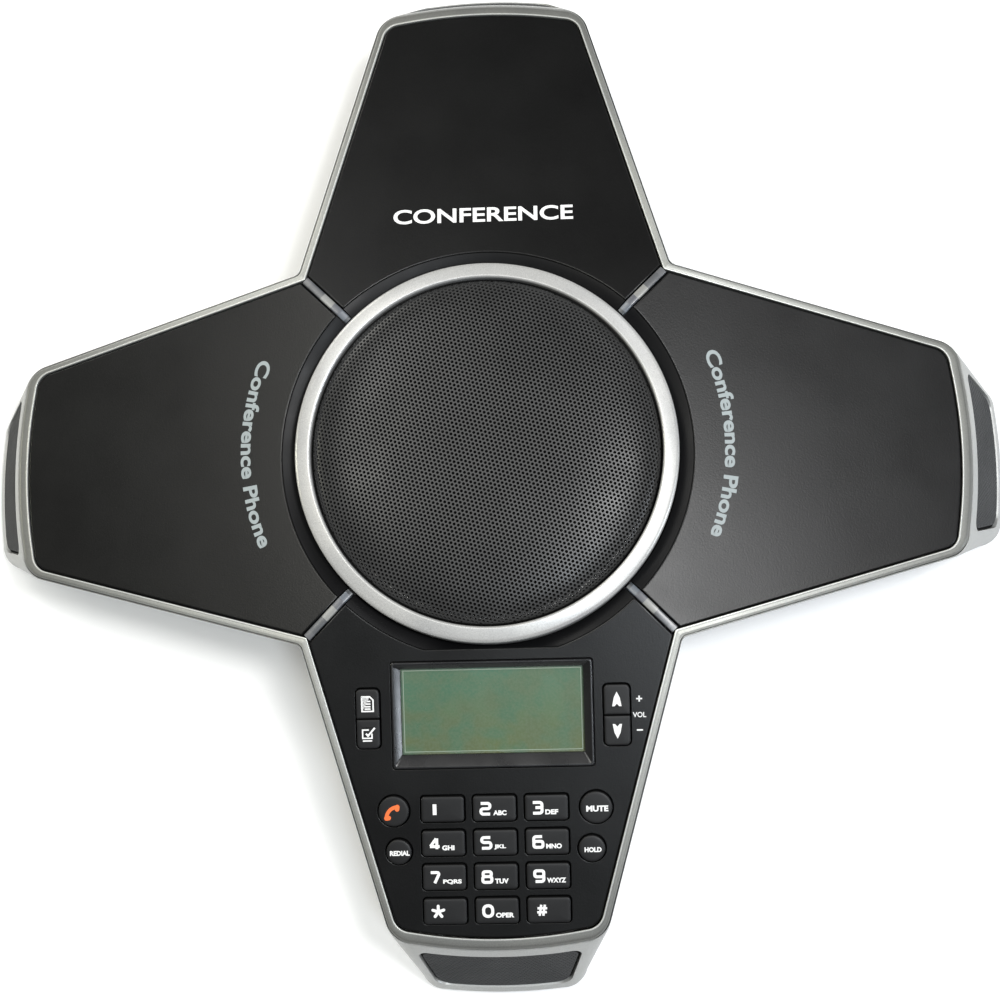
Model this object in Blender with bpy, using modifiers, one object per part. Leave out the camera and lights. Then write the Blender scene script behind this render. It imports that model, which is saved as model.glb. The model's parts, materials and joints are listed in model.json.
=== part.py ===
"""Conference speakerphone: a cross-shaped desk unit with a round loudspeaker and a keypad arm.

Units are metres and +Z is up. The origin lies on the phone's vertical axis, at the level of the
table. The keypad arm points along -Y, the right arm along +X, the rear arm along +Y.
"""
import math

import bmesh
import bpy
from mathutils import Matrix, Vector

# ---------------------------------------------------------------- driving dimensions
NOTCH = 0.0550              # half the distance between notches, at the panels' corners
NOTCH_HEIGHT = 0.0570       # height of the notch corners above the table
SLOPE = 0.1777              # fall of each arm's panel per unit of length (about 10 degrees)
TILT = math.atan(SLOPE)
TAPER = 0.2813              # loss of half-width per unit of arm length
PANEL_END = 0.1461          # radius of the panels' curved ends about the vertical axis
PANEL_THICKNESS = 0.0022
GAP = 0.0004                # parting gap between neighbouring pieces
SEAT = 0.0003               # gap between faces that rest on each other
OVERCUT = 0.0010            # how far a cutter reaches beyond what it cuts

WALL = 0.0024               # housing wall
WALL_AT_NOTCH = 0.0020      # inward shift of the notch corner that leaves such a wall
WALL_AT_END = 0.0030        # and that of the sloping end face
FLOOR = 0.0040              # underside of the housing above the table
HULL_NOTCH = 0.0538         # notch of the housing's outline near the floor
HULL_TAPER = 0.2620
PARTING = -0.0036           # parting line of rim and housing, below the panel planes
END_TOP_RADIUS = 0.1511     # end face, upper edge
END_LOW_RADIUS = 0.1639     # end face, lower edge
END_LOW_HEIGHT = 0.0090
LIP_RADIUS = 0.1654         # small lip under the end face
LIP_TOP = 0.0056
LIP_LOW = 0.0046

RECESS_RADIUS = 0.0628      # edge of the panels round the loudspeaker
RECESS_CHORD = 0.0595       # the keypad panel cuts the recess off along this line
RING_OUTER = 0.05825
RING_INNER = 0.05335
RING_TOP = 0.0043           # above the notch corners
DOME_TOP = 0.0080           # above the notch corners

BAR_WIDTH = 0.0030          # light bars, measured along the ridge from the axis
BAR_OUTER = 0.0778          # just short of the rim's notch corner
BAR_INNER = 0.0590
BAR_THICKNESS = 0.0020

TRAVEL = 0.0010             # key travel
KEY_PROUD = 0.0011          # key tops above the panel
KEY_CLEARANCE = 0.00035
FLANGE = 0.0006             # retaining flange beyond the sides of the square keys
ROUND_FLANGE = 0.0005       # and round the round keys
KEY_PITCH_X = 0.0156
KEY_PITCH_S = 0.0103
KEY_SIZE = (0.0129, 0.0077)
FIRST_ROW = 0.0527          # distance down the slope from the notch line
KEY_EDGE = 0.0004           # bevel round the key tops
KEY_CORNER = 0.0010
HOLE_CORNER = 0.0013

SCREW_LENGTH_ALONG = 0.0993     # arm length at which each case screw stands
SCREW_SHANK = 0.0015            # radii of the case screws and what they pass through
SCREW_HEAD = 0.0028
SCREW_WELL = 0.0032
BOSS_RADIUS = 0.0026
TOWER_RADIUS = 0.0042
FOOT_LENGTH_ALONG = 0.1410
FOOT_RADIUS = 0.0090
PEG_RADIUS = 0.0025
PEG_HOLE = 0.0028

GRILLE_TOP = (0.0350, 0.0255)       # height above the table and half-width of the end grilles
GRILLE_BOTTOM = (0.0095, 0.0211)

ARM_NAMES = ("front", "right", "rear", "left")

# distance of the layers below a panel's top face, measured square to the panel
LEDGE_TOP = -0.0025
LEDGE_BOTTOM = -0.0044
KEY_FLANGE_TOP = -0.0025
KEY_FLANGE_BOTTOM = -0.0033
MAT_TOP = KEY_FLANGE_BOTTOM - TRAVEL - SEAT
MAT_BOTTOM = MAT_TOP - 0.0012
BOARD_TOP = MAT_BOTTOM - SEAT
BOARD_THICKNESS = 0.0016
BOARD_BOTTOM = BOARD_TOP - BOARD_THICKNESS


# ---------------------------------------------------------------- scene and materials
for old in list(bpy.data.objects):
    bpy.data.objects.remove(old, do_unlink=True)

PARTS = bpy.data.collections.new("conference_speakerphone")
CUTTERS = bpy.data.collections.new("cutters")
bpy.context.scene.collection.children.link(PARTS)
bpy.context.scene.collection.children.link(CUTTERS)


def make_material(name, colour, roughness, metallic=0.0):
    material = bpy.data.materials.new(name)
    material.use_nodes = True
    shader = material.node_tree.nodes["Principled BSDF"]
    shader.inputs["Base Color"].default_value = (*colour, 1.0)
    shader.inputs["Roughness"].default_value = roughness
    shader.inputs["Metallic"].default_value = metallic
    material.diffuse_color = (*colour, 1.0)
    return material


SILVER = make_material("silver_paint", (0.60, 0.60, 0.58), 0.38, 0.6)
BRIGHT = make_material("satin_silver", (0.78, 0.78, 0.76), 0.30, 0.7)
CHARCOAL = make_material("charcoal_plastic", (0.022, 0.022, 0.022), 0.55)
BLACK = make_material("black_plastic", (0.010, 0.010, 0.011), 0.40)
KEYCAP = make_material("keycap_plastic", (0.030, 0.030, 0.031), 0.50)
GRILLE = make_material("black_mesh", (0.030, 0.030, 0.031), 0.45, 0.3)
LENS = make_material("light_bar_lens", (0.45, 0.48, 0.52), 0.35)
WINDOW = make_material("display_window", (0.42, 0.50, 0.42), 0.15)
DISPLAY = make_material("display_module", (0.30, 0.38, 0.28), 0.40)
RUBBER = make_material("rubber", (0.020, 0.020, 0.020), 0.85)
BOARD = make_material("circuit_board", (0.03, 0.16, 0.07), 0.45)
STEEL = make_material("zinc_steel", (0.60, 0.60, 0.60), 0.35, 1.0)
PAPER = make_material("cone_paper", (0.05, 0.05, 0.05), 0.90)
FERRITE = make_material("ferrite", (0.08, 0.08, 0.08), 0.60)
CONNECTOR = make_material("connector_plastic", (0.05, 0.05, 0.05), 0.45)


# ---------------------------------------------------------------- mesh helpers
def link(name, data, material, parent=None):
    obj = bpy.data.objects.new(name, data)
    PARTS.objects.link(obj)
    if material:
        data.materials.append(material)
    obj.parent = parent
    return obj


def from_bmesh(name, mesh, material, parent=None):
    """Close a bmesh into a named object, with every face pointing out."""
    bmesh.ops.recalc_face_normals(mesh, faces=mesh.faces)
    data = bpy.data.meshes.new(name)
    mesh.to_mesh(data)
    mesh.free()
    data.shade_smooth()
    data.set_sharp_from_angle(angle=math.radians(35))
    return link(name, data, material, parent)


def as_cutter(obj):
    PARTS.objects.unlink(obj)
    CUTTERS.objects.link(obj)
    obj.hide_render = True
    obj.display_type = "WIRE"
    return obj


def combine(target, tool, operation):
    modifier = target.modifiers.new(tool.name, "BOOLEAN")
    modifier.operation = operation
    modifier.solver = "EXACT"
    modifier.object = tool
    as_cutter(tool)


def bevel(obj, width, segments=1, angle=40):
    modifier = obj.modifiers.new("edges", "BEVEL")
    modifier.width = width
    modifier.segments = segments
    modifier.limit_method = "ANGLE"
    modifier.angle_limit = math.radians(angle)
    return modifier


def box(name, low, high, material=None, parent=None):
    mesh = bmesh.new()
    bmesh.ops.create_cube(mesh, size=1.0)
    low, high = Vector(low), Vector(high)
    size = high - low
    for vertex in mesh.verts:
        vertex.co = low + Vector([(vertex.co[axis] + 0.5) * size[axis] for axis in range(3)])
    return from_bmesh(name, mesh, material, parent)


def cylinder(name, centre, radius, low, high, material=None, parent=None, segments=24):
    """A cylinder along local Z, from height low to height high."""
    mesh = bmesh.new()
    middle = Matrix.Translation((centre[0], centre[1], (low + high) / 2))
    bmesh.ops.create_cone(mesh, cap_ends=True, segments=segments, radius1=radius, radius2=radius,
                          depth=high - low, matrix=middle)
    return from_bmesh(name, mesh, material, parent)


def turned(name, profile, steps, material, parent=None):
    """Turn a profile of (radius, height) points about Z.

    The points run down the outer side. A profile that starts and ends on the axis stays open,
    and any other profile is closed on itself.
    """
    mesh = bmesh.new()
    points = [mesh.verts.new((radius, 0.0, height)) for radius, height in profile]
    for first, second in zip(points, points[1:]):
        mesh.edges.new((first, second))
    if profile[0][0] > 0:
        mesh.edges.new((points[-1], points[0]))
    data = bpy.data.meshes.new(name)
    mesh.to_mesh(data)
    mesh.free()
    obj = link(name, data, material, parent)
    screw = obj.modifiers.new("turn", "SCREW")
    screw.axis = "Z"
    screw.angle = math.tau
    screw.steps = steps
    screw.render_steps = steps
    screw.use_merge_vertices = True
    screw.merge_threshold = 0.00001
    screw.use_smooth_shade = False
    return obj


def loft(name, rings, material, closed=False, parent=None):
    """Join rings of points of equal length; a loft that isn't closed on itself gets two caps."""
    mesh = bmesh.new()
    rows = [[mesh.verts.new(point) for point in ring] for ring in rings]
    pairs = list(zip(rows, rows[1:]))
    if closed:
        pairs.append((rows[-1], rows[0]))
    else:
        mesh.faces.new(rows[0])
        mesh.faces.new(list(reversed(rows[-1])))
    for upper, lower in pairs:
        for index in range(len(upper)):
            after = (index + 1) % len(upper)
            mesh.faces.new((upper[index], lower[index], lower[after], upper[after]))
    return from_bmesh(name, mesh, material, parent)


def plate(name, outlines, top, bottom, material, parent=None):
    """A flat plate in the local XY plane, from closed outlines: the rim first, then any holes."""
    curve = bpy.data.curves.new(name, "CURVE")
    curve.dimensions = "2D"
    curve.fill_mode = "BOTH"
    curve.extrude = (top - bottom) / 2
    for outline in outlines:
        spline = curve.splines.new("POLY")
        spline.points.add(len(outline) - 1)
        for point, (x, y) in zip(spline.points, outline):
            point.co = (x, y, 0.0, 1.0)
        spline.use_cyclic_u = True
    flat = bpy.data.objects.new(name + "_outline", curve)
    PARTS.objects.link(flat)
    bpy.context.view_layer.update()
    evaluated = flat.evaluated_get(bpy.context.evaluated_depsgraph_get())
    data = bpy.data.meshes.new_from_object(evaluated)
    bpy.data.objects.remove(flat, do_unlink=True)
    mesh = bmesh.new()
    mesh.from_mesh(data)
    bpy.data.meshes.remove(data)
    bmesh.ops.remove_doubles(mesh, verts=mesh.verts, dist=0.000001)
    bmesh.ops.translate(mesh, verts=mesh.verts, vec=(0, 0, (top + bottom) / 2))
    return from_bmesh(name, mesh, material, parent)


def prisms(name, outlines, low, high, parent=None):
    """Upright prisms from several outlines that don't touch, in one object for use as a cutter."""
    mesh = bmesh.new()
    for outline in outlines:
        lower = [mesh.verts.new(point) for point in at_height(outline, low)]
        upper = [mesh.verts.new(point) for point in at_height(outline, high)]
        mesh.faces.new(list(reversed(lower)))
        mesh.faces.new(upper)
        for index in range(len(outline)):
            after = (index + 1) % len(outline)
            mesh.faces.new((lower[index], lower[after], upper[after], upper[index]))
    return from_bmesh(name, mesh, None, parent)


# ---------------------------------------------------------------- outlines
def corner_arc(before, corner, after, radius, steps):
    """Points of the arc that rounds a corner between two straight lines."""
    corner = Vector(corner)
    to_before = (Vector(before) - corner).normalized()
    to_after = (Vector(after) - corner).normalized()
    half = to_before.angle(to_after) / 2
    reach = radius / math.tan(half)
    centre = corner + (to_before + to_after).normalized() * (radius / math.sin(half))
    start = corner + to_before * reach - centre
    finish = corner + to_after * reach - centre
    turn = start.angle_signed(finish)
    arc = []
    for step in range(steps + 1):
        angle = math.atan2(start.y, start.x) - turn * step / steps
        arc.append((centre.x + radius * math.cos(angle), centre.y + radius * math.sin(angle)))
    return arc


def rounded_outline(corners, radius, steps=2):
    """A polygon with every corner rounded; radius is one value, or one for each corner."""
    count = len(corners)
    radii = radius if isinstance(radius, (list, tuple)) else [radius] * count
    points = []
    for index, corner in enumerate(corners):
        after = corners[(index + 1) % count]
        points += corner_arc(corners[index - 1], corner, after, radii[index], steps)
    return points


def rectangle(left, right, low, high):
    return [(left, low), (right, low), (right, high), (left, high)]


def circle(centre, radius, steps=24):
    return [(centre[0] + radius * math.cos(math.tau * step / steps),
             centre[1] + radius * math.sin(math.tau * step / steps)) for step in range(steps)]


def quarter_turn(point, turns):
    """Turn a plan point about the vertical axis, from the front arm to another arm."""
    x, y = point
    for _ in range(turns):
        x, y = -y, x
    return (x, y)


def end_corner(notch, end_radius, taper):
    """Half-width and length at which an arm's side line meets its curved end."""
    reach = notch * (1 + taper)
    square = 1 + taper * taper
    root = math.sqrt((reach * taper) ** 2 - square * (reach * reach - end_radius * end_radius))
    length = (reach * taper + root) / square
    return reach - taper * length, length


def cross_outline(notch, end_radius, end_fillet, notch_fillet, taper=TAPER):
    """The four-armed plan outline, counter-clockwise, with the same number of points each time."""
    width, length = end_corner(notch, end_radius, taper)
    corner = Vector((-width, -length))
    along_end = corner + Vector((length, -width)) * 0.1
    arm = corner_arc((-length, -width), (-notch, -notch), corner, notch_fillet, 3)
    left = corner_arc((-notch, -notch), corner, along_end, end_fillet, 4)
    first_angle = math.atan2(-left[-1][0], -left[-1][1])
    end_steps = 6
    arc = []
    for step in range(1, end_steps):
        angle = first_angle * (1 - 2 * step / end_steps)
        arc.append((-end_radius * math.sin(angle), -end_radius * math.cos(angle)))
    right = [(-x, y) for x, y in reversed(left)]
    arm += left + arc + right
    return [quarter_turn(point, turns) for turns in range(4) for point in arm]


def offset_notch(distance):
    """Notch position of an outline set out from the panels' edge by a distance."""
    return NOTCH + distance / (math.cos(math.atan(TAPER)) * (1 + TAPER))


def roof(point):
    """Height of the four sloping panel planes above a plan point."""
    return NOTCH_HEIGHT - (max(abs(point[0]), abs(point[1])) - NOTCH) * SLOPE


def under_roof(outline, drop):
    return [(x, y, roof((x, y)) + drop) for x, y in outline]


def at_height(outline, height):
    return [(x, y, height) for x, y in outline]


# ---------------------------------------------------------------- frames of the four arms
def make_empty(name, turns, tilt, location):
    """An empty whose local -Y runs outward along one arm; tilted ones follow its panel."""
    empty = bpy.data.objects.new(name, None)
    PARTS.objects.link(empty)
    empty.rotation_euler = (tilt, 0, turns * math.pi / 2)
    x, y = quarter_turn(location[:2], turns)
    empty.location = (x, y, location[2])
    return empty


SLOPES = [make_empty(name + "_slope", turns, TILT, (0, -NOTCH, NOTCH_HEIGHT))
          for turns, name in enumerate(ARM_NAMES)]
LEVELS = [make_empty(name + "_level", turns, 0, (0, 0, 0)) for turns, name in enumerate(ARM_NAMES)]


def on_slope(point):
    """A plan point on an arm, as local XY on the sloping panel plane."""
    return (point[0], (point[1] + NOTCH) / math.cos(TILT))


# ---------------------------------------------------------------- housing
def hull_outline(notch, end_radius):
    return cross_outline(notch, end_radius, 0.0080, 0.0040, HULL_TAPER)


def housing_rings():
    """From the inner floor up the inside of the wall, over its top edge and down the outside."""
    inner = hull_outline(HULL_NOTCH - WALL_AT_NOTCH, END_LOW_RADIUS - WALL_AT_END)
    wall_top = cross_outline(offset_notch(0.0011), 0.1488, 0.0065, 0.0034)
    edge = cross_outline(offset_notch(0.0031), END_TOP_RADIUS, 0.0095, 0.0030)
    return [
        at_height(inner, FLOOR + WALL),
        at_height(inner, FLOOR + WALL + 0.0010),
        under_roof(wall_top, PARTING - SEAT),
        under_roof(edge, PARTING - SEAT),
        at_height(hull_outline(HULL_NOTCH, END_LOW_RADIUS), END_LOW_HEIGHT),
        at_height(hull_outline(HULL_NOTCH, LIP_RADIUS), LIP_TOP),
        at_height(hull_outline(HULL_NOTCH - 0.0003, LIP_RADIUS - 0.0004), LIP_LOW),
        at_height(hull_outline(HULL_NOTCH - 0.0012, LIP_RADIUS - 0.0016), FLOOR),
    ]


INSIDE = FLOOR + WALL - 0.0010      # foot of everything that grows from the housing's floor
TOWER_TOP = 0.0210                  # the panels' screw bosses stand on the towers
TOWER_WEB = 0.0170                  # the screw heads bear against this web
BOARD_POSTS = ((-0.034, -0.034), (0.034, -0.034), (-0.034, 0.030), (0.034, 0.030))
POST_RADIUS = 0.0025
POST_TOP = 0.0082
BAY = ((-0.0170, 0.0580), (0.0170, 0.0900))     # plan corners of the connector bay
BAY_TOP = 0.0270
BAY_WALL = 0.0020
JACK_FLOOR = 0.0104
LINE_JACK_X = (-0.0150, -0.0018)
LINE_JACK_TOP = 0.0229
POWER_JACK_X = (0.0040, 0.0130)
POWER_JACK_TOP = 0.0214
JACK_FACE = BAY[0][1] - 0.0003


def grille_outline(margin):
    """Outline of an end grille seen along its arm: X across and Y up."""
    top, top_half = GRILLE_TOP
    low, low_half = GRILLE_BOTTOM
    corners = [(-top_half + margin, top - margin), (-low_half + margin, low + margin),
               (low_half - margin, low + margin), (top_half - margin, top - margin)]
    return rounded_outline(corners, [0.0020, 0.0045, 0.0045, 0.0020], steps=3)


def grille_prism(name, turns, margin):
    """A prism through an arm's end wall, with the outline of the end grille."""
    outline = grille_outline(margin)
    near = [(x, -0.1440, z) for x, z in outline]
    far = [(x, -0.1720, z) for x, z in outline]
    prism = loft(name, [near, far], None)
    prism.parent = LEVELS[turns]
    return prism


def build_housing():
    """Lower shell with screw towers, board posts, the connector bay and the openings."""
    housing = loft("bottom_housing", housing_rings(), SILVER)
    screw_place = (0, -SCREW_LENGTH_ALONG)
    foot_place = (0, -FOOT_LENGTH_ALONG)
    for turns, arm in enumerate(ARM_NAMES):
        tower = cylinder("tower_" + arm, screw_place, TOWER_RADIUS, INSIDE, TOWER_TOP, None,
                         LEVELS[turns], 12)
        combine(housing, tower, "UNION")
    for index, place in enumerate(BOARD_POSTS):
        post = cylinder("board_post_%d" % index, place, POST_RADIUS, INSIDE, POST_TOP, segments=12)
        combine(housing, post, "UNION")
    (left, near), (right, far) = BAY
    shell = box("bay_shell", (left - BAY_WALL, near - BAY_WALL, INSIDE),
                (right + BAY_WALL, far + BAY_WALL, BAY_TOP + BAY_WALL))
    combine(housing, shell, "UNION")
    hollow = box("bay_hollow", (left, near, FLOOR - OVERCUT), (right, far, BAY_TOP))
    combine(housing, hollow, "DIFFERENCE")
    for name, (low_x, high_x), top in (("line", LINE_JACK_X, LINE_JACK_TOP),
                                       ("power", POWER_JACK_X, POWER_JACK_TOP)):
        cut = box(name + "_jack_cut",
                  (low_x - GAP, near - 2 * BAY_WALL, JACK_FLOOR - GAP),
                  (high_x + GAP, near + BAY_WALL / 2, top + GAP))
        combine(housing, cut, "DIFFERENCE")
    holes = (("screw_well_", screw_place, SCREW_WELL, FLOOR, TOWER_WEB - OVERCUT),
             ("screw_hole_", screw_place, SCREW_SHANK + SEAT, TOWER_WEB, TOWER_TOP),
             ("peg_hole_", foot_place, PEG_HOLE, FLOOR, FLOOR + WALL))
    for turns, arm in enumerate(ARM_NAMES):
        for name, place, radius, low, high in holes:
            hole = cylinder(name + arm, place, radius, low - OVERCUT, high + OVERCUT, None,
                            LEVELS[turns], 12)
            combine(housing, hole, "DIFFERENCE")
        combine(housing, grille_prism("grille_cut_" + arm, turns, 0.0), "DIFFERENCE")
    return housing


def build_top_frame():
    """Silver rim round all four panels, with a ledge that carries them."""
    inner = offset_notch(0.00045)
    edge = offset_notch(0.0031)
    ledge = offset_notch(-0.0030)
    section = [         # notch, end radius, end fillet, notch fillet, drop below the panel plane
        (offset_notch(0.0009), 0.14690, 0.0060, 0.0011, 0.00025),
        (offset_notch(0.0025), 0.14940, 0.0085, 0.0025, 0.00025),
        (offset_notch(0.00295), 0.15005, 0.0090, 0.0028, -0.00015),
        (edge, 0.15040, 0.0093, 0.0030, -0.0009),
        (edge, END_TOP_RADIUS, 0.0095, 0.0030, PARTING),
        (inner, 0.14810, 0.0070, 0.0008, PARTING),
        (inner, 0.14810, 0.0070, 0.0008, LEDGE_BOTTOM),
        (ledge, 0.14280, 0.0030, 0.0008, LEDGE_BOTTOM),
        (ledge, 0.14280, 0.0030, 0.0008, LEDGE_TOP),
        (inner, 0.14655, 0.0057, 0.0008, LEDGE_TOP),
        (inner, 0.14655, 0.0057, 0.0008, -0.0002),
    ]
    rings = [under_roof(cross_outline(notch, end, fillet, notch_fillet), drop)
             for notch, end, fillet, notch_fillet, drop in section]
    return loft("top_frame", rings, SILVER, closed=True)


# ---------------------------------------------------------------- panels
def panel_outline(chord=None):
    """Outline of one arm's panel on its slope, from the recess out to the curved end."""
    half_strip = (BAR_WIDTH / 2 + GAP) * math.sqrt(2)
    side_x = (NOTCH * (1 + TAPER) - half_strip * TAPER) / (1 + TAPER)
    inner_x = (-half_strip + math.sqrt(2 * RECESS_RADIUS ** 2 - half_strip ** 2)) / 2
    width, length = end_corner(NOTCH, PANEL_END, TAPER)
    corner = Vector((-width, -length))
    left = [(-inner_x, -inner_x - half_strip), (-side_x, -side_x - half_strip)]
    left += corner_arc(left[-1], corner, corner + Vector((length, -width)) * 0.1, 0.0055, 5)
    first_angle = math.atan2(-left[-1][0], -left[-1][1])
    end_steps = 8
    end = []
    for step in range(1, end_steps):
        angle = first_angle * (1 - 2 * step / end_steps)
        end.append((-PANEL_END * math.sin(angle), -PANEL_END * math.cos(angle)))
    start_angle = math.atan2(inner_x, inner_x + half_strip)
    stop_angle = math.acos(chord / RECESS_RADIUS) if chord else 0.0
    arc_steps = 7 if chord else 10
    side_arc = []
    for step in range(1, arc_steps + 1):
        angle = start_angle + (stop_angle - start_angle) * step / arc_steps
        side_arc.append((RECESS_RADIUS * math.sin(angle), -RECESS_RADIUS * math.cos(angle)))
    other_arc = [(-x, y) for x, y in reversed(side_arc)]
    recess = side_arc + (other_arc if chord else other_arc[1:])
    right = [(-x, y) for x, y in reversed(left)]
    return [on_slope(point) for point in left + end + right + recess]


BOSS_OVERLAP = 0.0012       # the boss ends this far below the panel's face, inside the panel
PILOT_DEPTH = 0.0140


def add_screw_boss(panel, turns):
    """A post under the panel that stands on the housing's tower and takes the case screw."""
    arm = ARM_NAMES[turns]
    place = (0, -SCREW_LENGTH_ALONG)
    low = TOWER_TOP + SEAT
    high = roof(place) - BOSS_OVERLAP
    boss = cylinder("boss_" + arm, place, BOSS_RADIUS, low, high, None, LEVELS[turns], 16)
    combine(panel, boss, "UNION")
    pilot = cylinder("pilot_" + arm, place, SCREW_SHANK + SEAT, low - OVERCUT, low + PILOT_DEPTH,
                     None, LEVELS[turns], 16)
    combine(panel, pilot, "DIFFERENCE")


# ---------------------------------------------------------------- keys
def grown(frame, margin):
    """Corners of a frame (left, right, low, high) that is made larger all round."""
    left, right, low, high = frame
    return rectangle(left - margin, right + margin, low - margin, high + margin)


def key_table():
    """Every key: name, centre across, centre down the slope, and its size or radius."""
    keys = []
    digit_names = ("1", "2", "3", "4", "5", "6", "7", "8", "9", "star", "0", "hash")
    for index, label in enumerate(digit_names):
        column, row = index % 3, index // 3
        keys.append(("key_" + label, (column - 1) * KEY_PITCH_X - 0.0001,
                     FIRST_ROW + row * KEY_PITCH_S, KEY_SIZE))
    keys.append(("key_talk", -0.03044, 0.0531, 0.0046))
    keys.append(("key_redial", -0.02920, 0.0654, 0.0038))
    keys.append(("key_mute", 0.03037, 0.05295, 0.00484))
    keys.append(("key_hold", 0.02880, 0.0653, 0.0040))
    keys.append(("key_phonebook", -0.03735, 0.0205, (0.0069, 0.0088)))
    keys.append(("key_edit", -0.03735, 0.0296, (0.0069, 0.0087)))
    keys.append(("key_volume_up", 0.0373, 0.0207, (0.0077, 0.0090)))
    keys.append(("key_volume_down", 0.0373, 0.0300, (0.0077, 0.0089)))
    return keys


PAIRS = (("key_phonebook", "key_edit"), ("key_volume_up", "key_volume_down"))


def build_key(name, across, down, size):
    """A hard keycap with its origin on the slide axis at the panel's surface."""
    if isinstance(size, tuple):
        half_x, half_y = size[0] / 2, size[1] / 2
        cap = rounded_outline(rectangle(-half_x, half_x, -half_y, half_y), KEY_CORNER)
        wide = rounded_outline(rectangle(-half_x - FLANGE, half_x + FLANGE, -half_y, half_y),
                               KEY_CORNER)
        crown = rounded_outline(rectangle(KEY_EDGE - half_x, half_x - KEY_EDGE, KEY_EDGE - half_y,
                                          half_y - KEY_EDGE), KEY_CORNER - 0.0001)
    else:
        cap = circle((0, 0), size, 20)
        wide = circle((0, 0), size + ROUND_FLANGE, 20)
        crown = circle((0, 0), size - KEY_EDGE, 20)
    rings = [at_height(crown, KEY_PROUD), at_height(cap, KEY_PROUD - KEY_EDGE),
             at_height(cap, KEY_FLANGE_TOP), at_height(wide, KEY_FLANGE_TOP),
             at_height(wide, KEY_FLANGE_BOTTOM)]
    key = loft(name, rings, KEYCAP, parent=SLOPES[0])
    key.location = (across, -down, 0)
    return key


def key_openings():
    """Outlines of the key holes in the keypad panel; the two keys of a pair share one hole."""
    holes = []
    frames = {}
    for name, across, down, size in key_table():
        if isinstance(size, tuple):
            frames[name] = (across - size[0] / 2, across + size[0] / 2, -down - size[1] / 2,
                            -down + size[1] / 2)
        else:
            holes.append(circle((across, -down), size + KEY_CLEARANCE, 20))
    for upper, lower in PAIRS:
        left, right, _, high = frames.pop(upper)
        low = frames.pop(lower)[2]
        frames[upper] = (left, right, low, high)
    for frame in frames.values():
        holes.append(rounded_outline(grown(frame, KEY_CLEARANCE), HOLE_CORNER))
    return holes


# ---------------------------------------------------------------- display
BEZEL = (-0.0303, 0.0303, -0.0406, -0.00825)        # left, right, low, high on the slope
OPENING = (-0.0275, 0.0275, -0.0365, -0.0105)
BEZEL_TOP = 0.0005
BEZEL_STEP = -0.0010
BEZEL_CORNER = 0.0008
OPENING_CORNER = 0.0004
LCD_MODULE = (-0.0290, 0.0290, -0.0395, -0.0090)
LCD_TOP = -0.0025
LCD_BOTTOM = -0.0057


def build_display():
    slope = SLOPES[0]
    outer = rounded_outline(grown(BEZEL, 0), BEZEL_CORNER)
    crest = rounded_outline(grown(BEZEL, -KEY_EDGE), BEZEL_CORNER - 0.0001)
    slant = rounded_outline(grown(BEZEL, -0.0009), BEZEL_CORNER - 0.0002)
    mouth = rounded_outline(grown(OPENING, 0), OPENING_CORNER)
    rings = [at_height(crest, BEZEL_TOP), at_height(outer, BEZEL_TOP - KEY_EDGE),
             at_height(outer, -PANEL_THICKNESS), at_height(mouth, -PANEL_THICKNESS),
             at_height(mouth, BEZEL_STEP), at_height(slant, BEZEL_TOP)]
    loft("display_bezel", rings, BLACK, closed=True, parent=slope)
    window = rounded_outline(grown(OPENING, -GAP), OPENING_CORNER)
    sheet = [at_height(window, BEZEL_STEP - 0.0002), at_height(window, -PANEL_THICKNESS)]
    loft("display_window", sheet, WINDOW, parent=slope)
    left, right, low, high = LCD_MODULE
    module = box("lcd_module", (left, low, LCD_BOTTOM), (right, high, LCD_TOP), DISPLAY, slope)
    bevel(module, 0.0003)


# ---------------------------------------------------------------- boards and mat
def keypad_blank(margin, near, far):
    """A tapered plate outline under the keypad panel, set in from the panel's edge."""
    def half(down):
        return NOTCH - down * math.cos(TILT) * TAPER - margin

    corners = [(-half(far), -far), (half(far), -far), (half(near), -near), (-half(near), -near)]
    return rounded_outline(corners, 0.0020)


SCREW_PASS = on_slope((0, -SCREW_LENGTH_ALONG))
MAT_INSET = 0.0034
BOARD_INSET = 0.0040
MAT_NOTCH = (-0.0296, 0.0296, -0.0401, -0.0110)     # room for the display module


def build_keypad_internals():
    """The U-shaped key mat, open towards the display module, and the board under it."""
    slope = SLOPES[0]
    mat = plate("key_mat", [keypad_blank(MAT_INSET, 0.0130, 0.0880)], MAT_TOP, MAT_BOTTOM, RUBBER,
                slope)
    mat_cuts = [rounded_outline(grown(MAT_NOTCH, 0), 0.0010),
                circle((0, SCREW_PASS[1] - 0.0008), 0.0035, 16)]
    cutter = prisms("mat_openings", mat_cuts, MAT_BOTTOM - OVERCUT, MAT_TOP + OVERCUT, slope)
    combine(mat, cutter, "DIFFERENCE")
    board_hole = circle((0, SCREW_PASS[1] - 0.0010), 0.0038, 16)
    plate("keypad_board", [keypad_blank(BOARD_INSET, 0.0120, 0.0880), board_hole], BOARD_TOP,
          BOARD_BOTTOM, BOARD, slope)


def build_main_board():
    corners = [(-0.040, -0.040), (0.040, -0.040), (0.040, 0.036), (0.019, 0.0555),
               (-0.019, 0.0555), (-0.040, 0.036)]
    low = POST_TOP + SEAT
    plate("main_board", [rounded_outline(corners, 0.0015)], low + BOARD_THICKNESS, low, BOARD)


# ---------------------------------------------------------------- loudspeaker
def z(drop):
    """Height above the table of a level given from the notch corners."""
    return NOTCH_HEIGHT + drop


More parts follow.
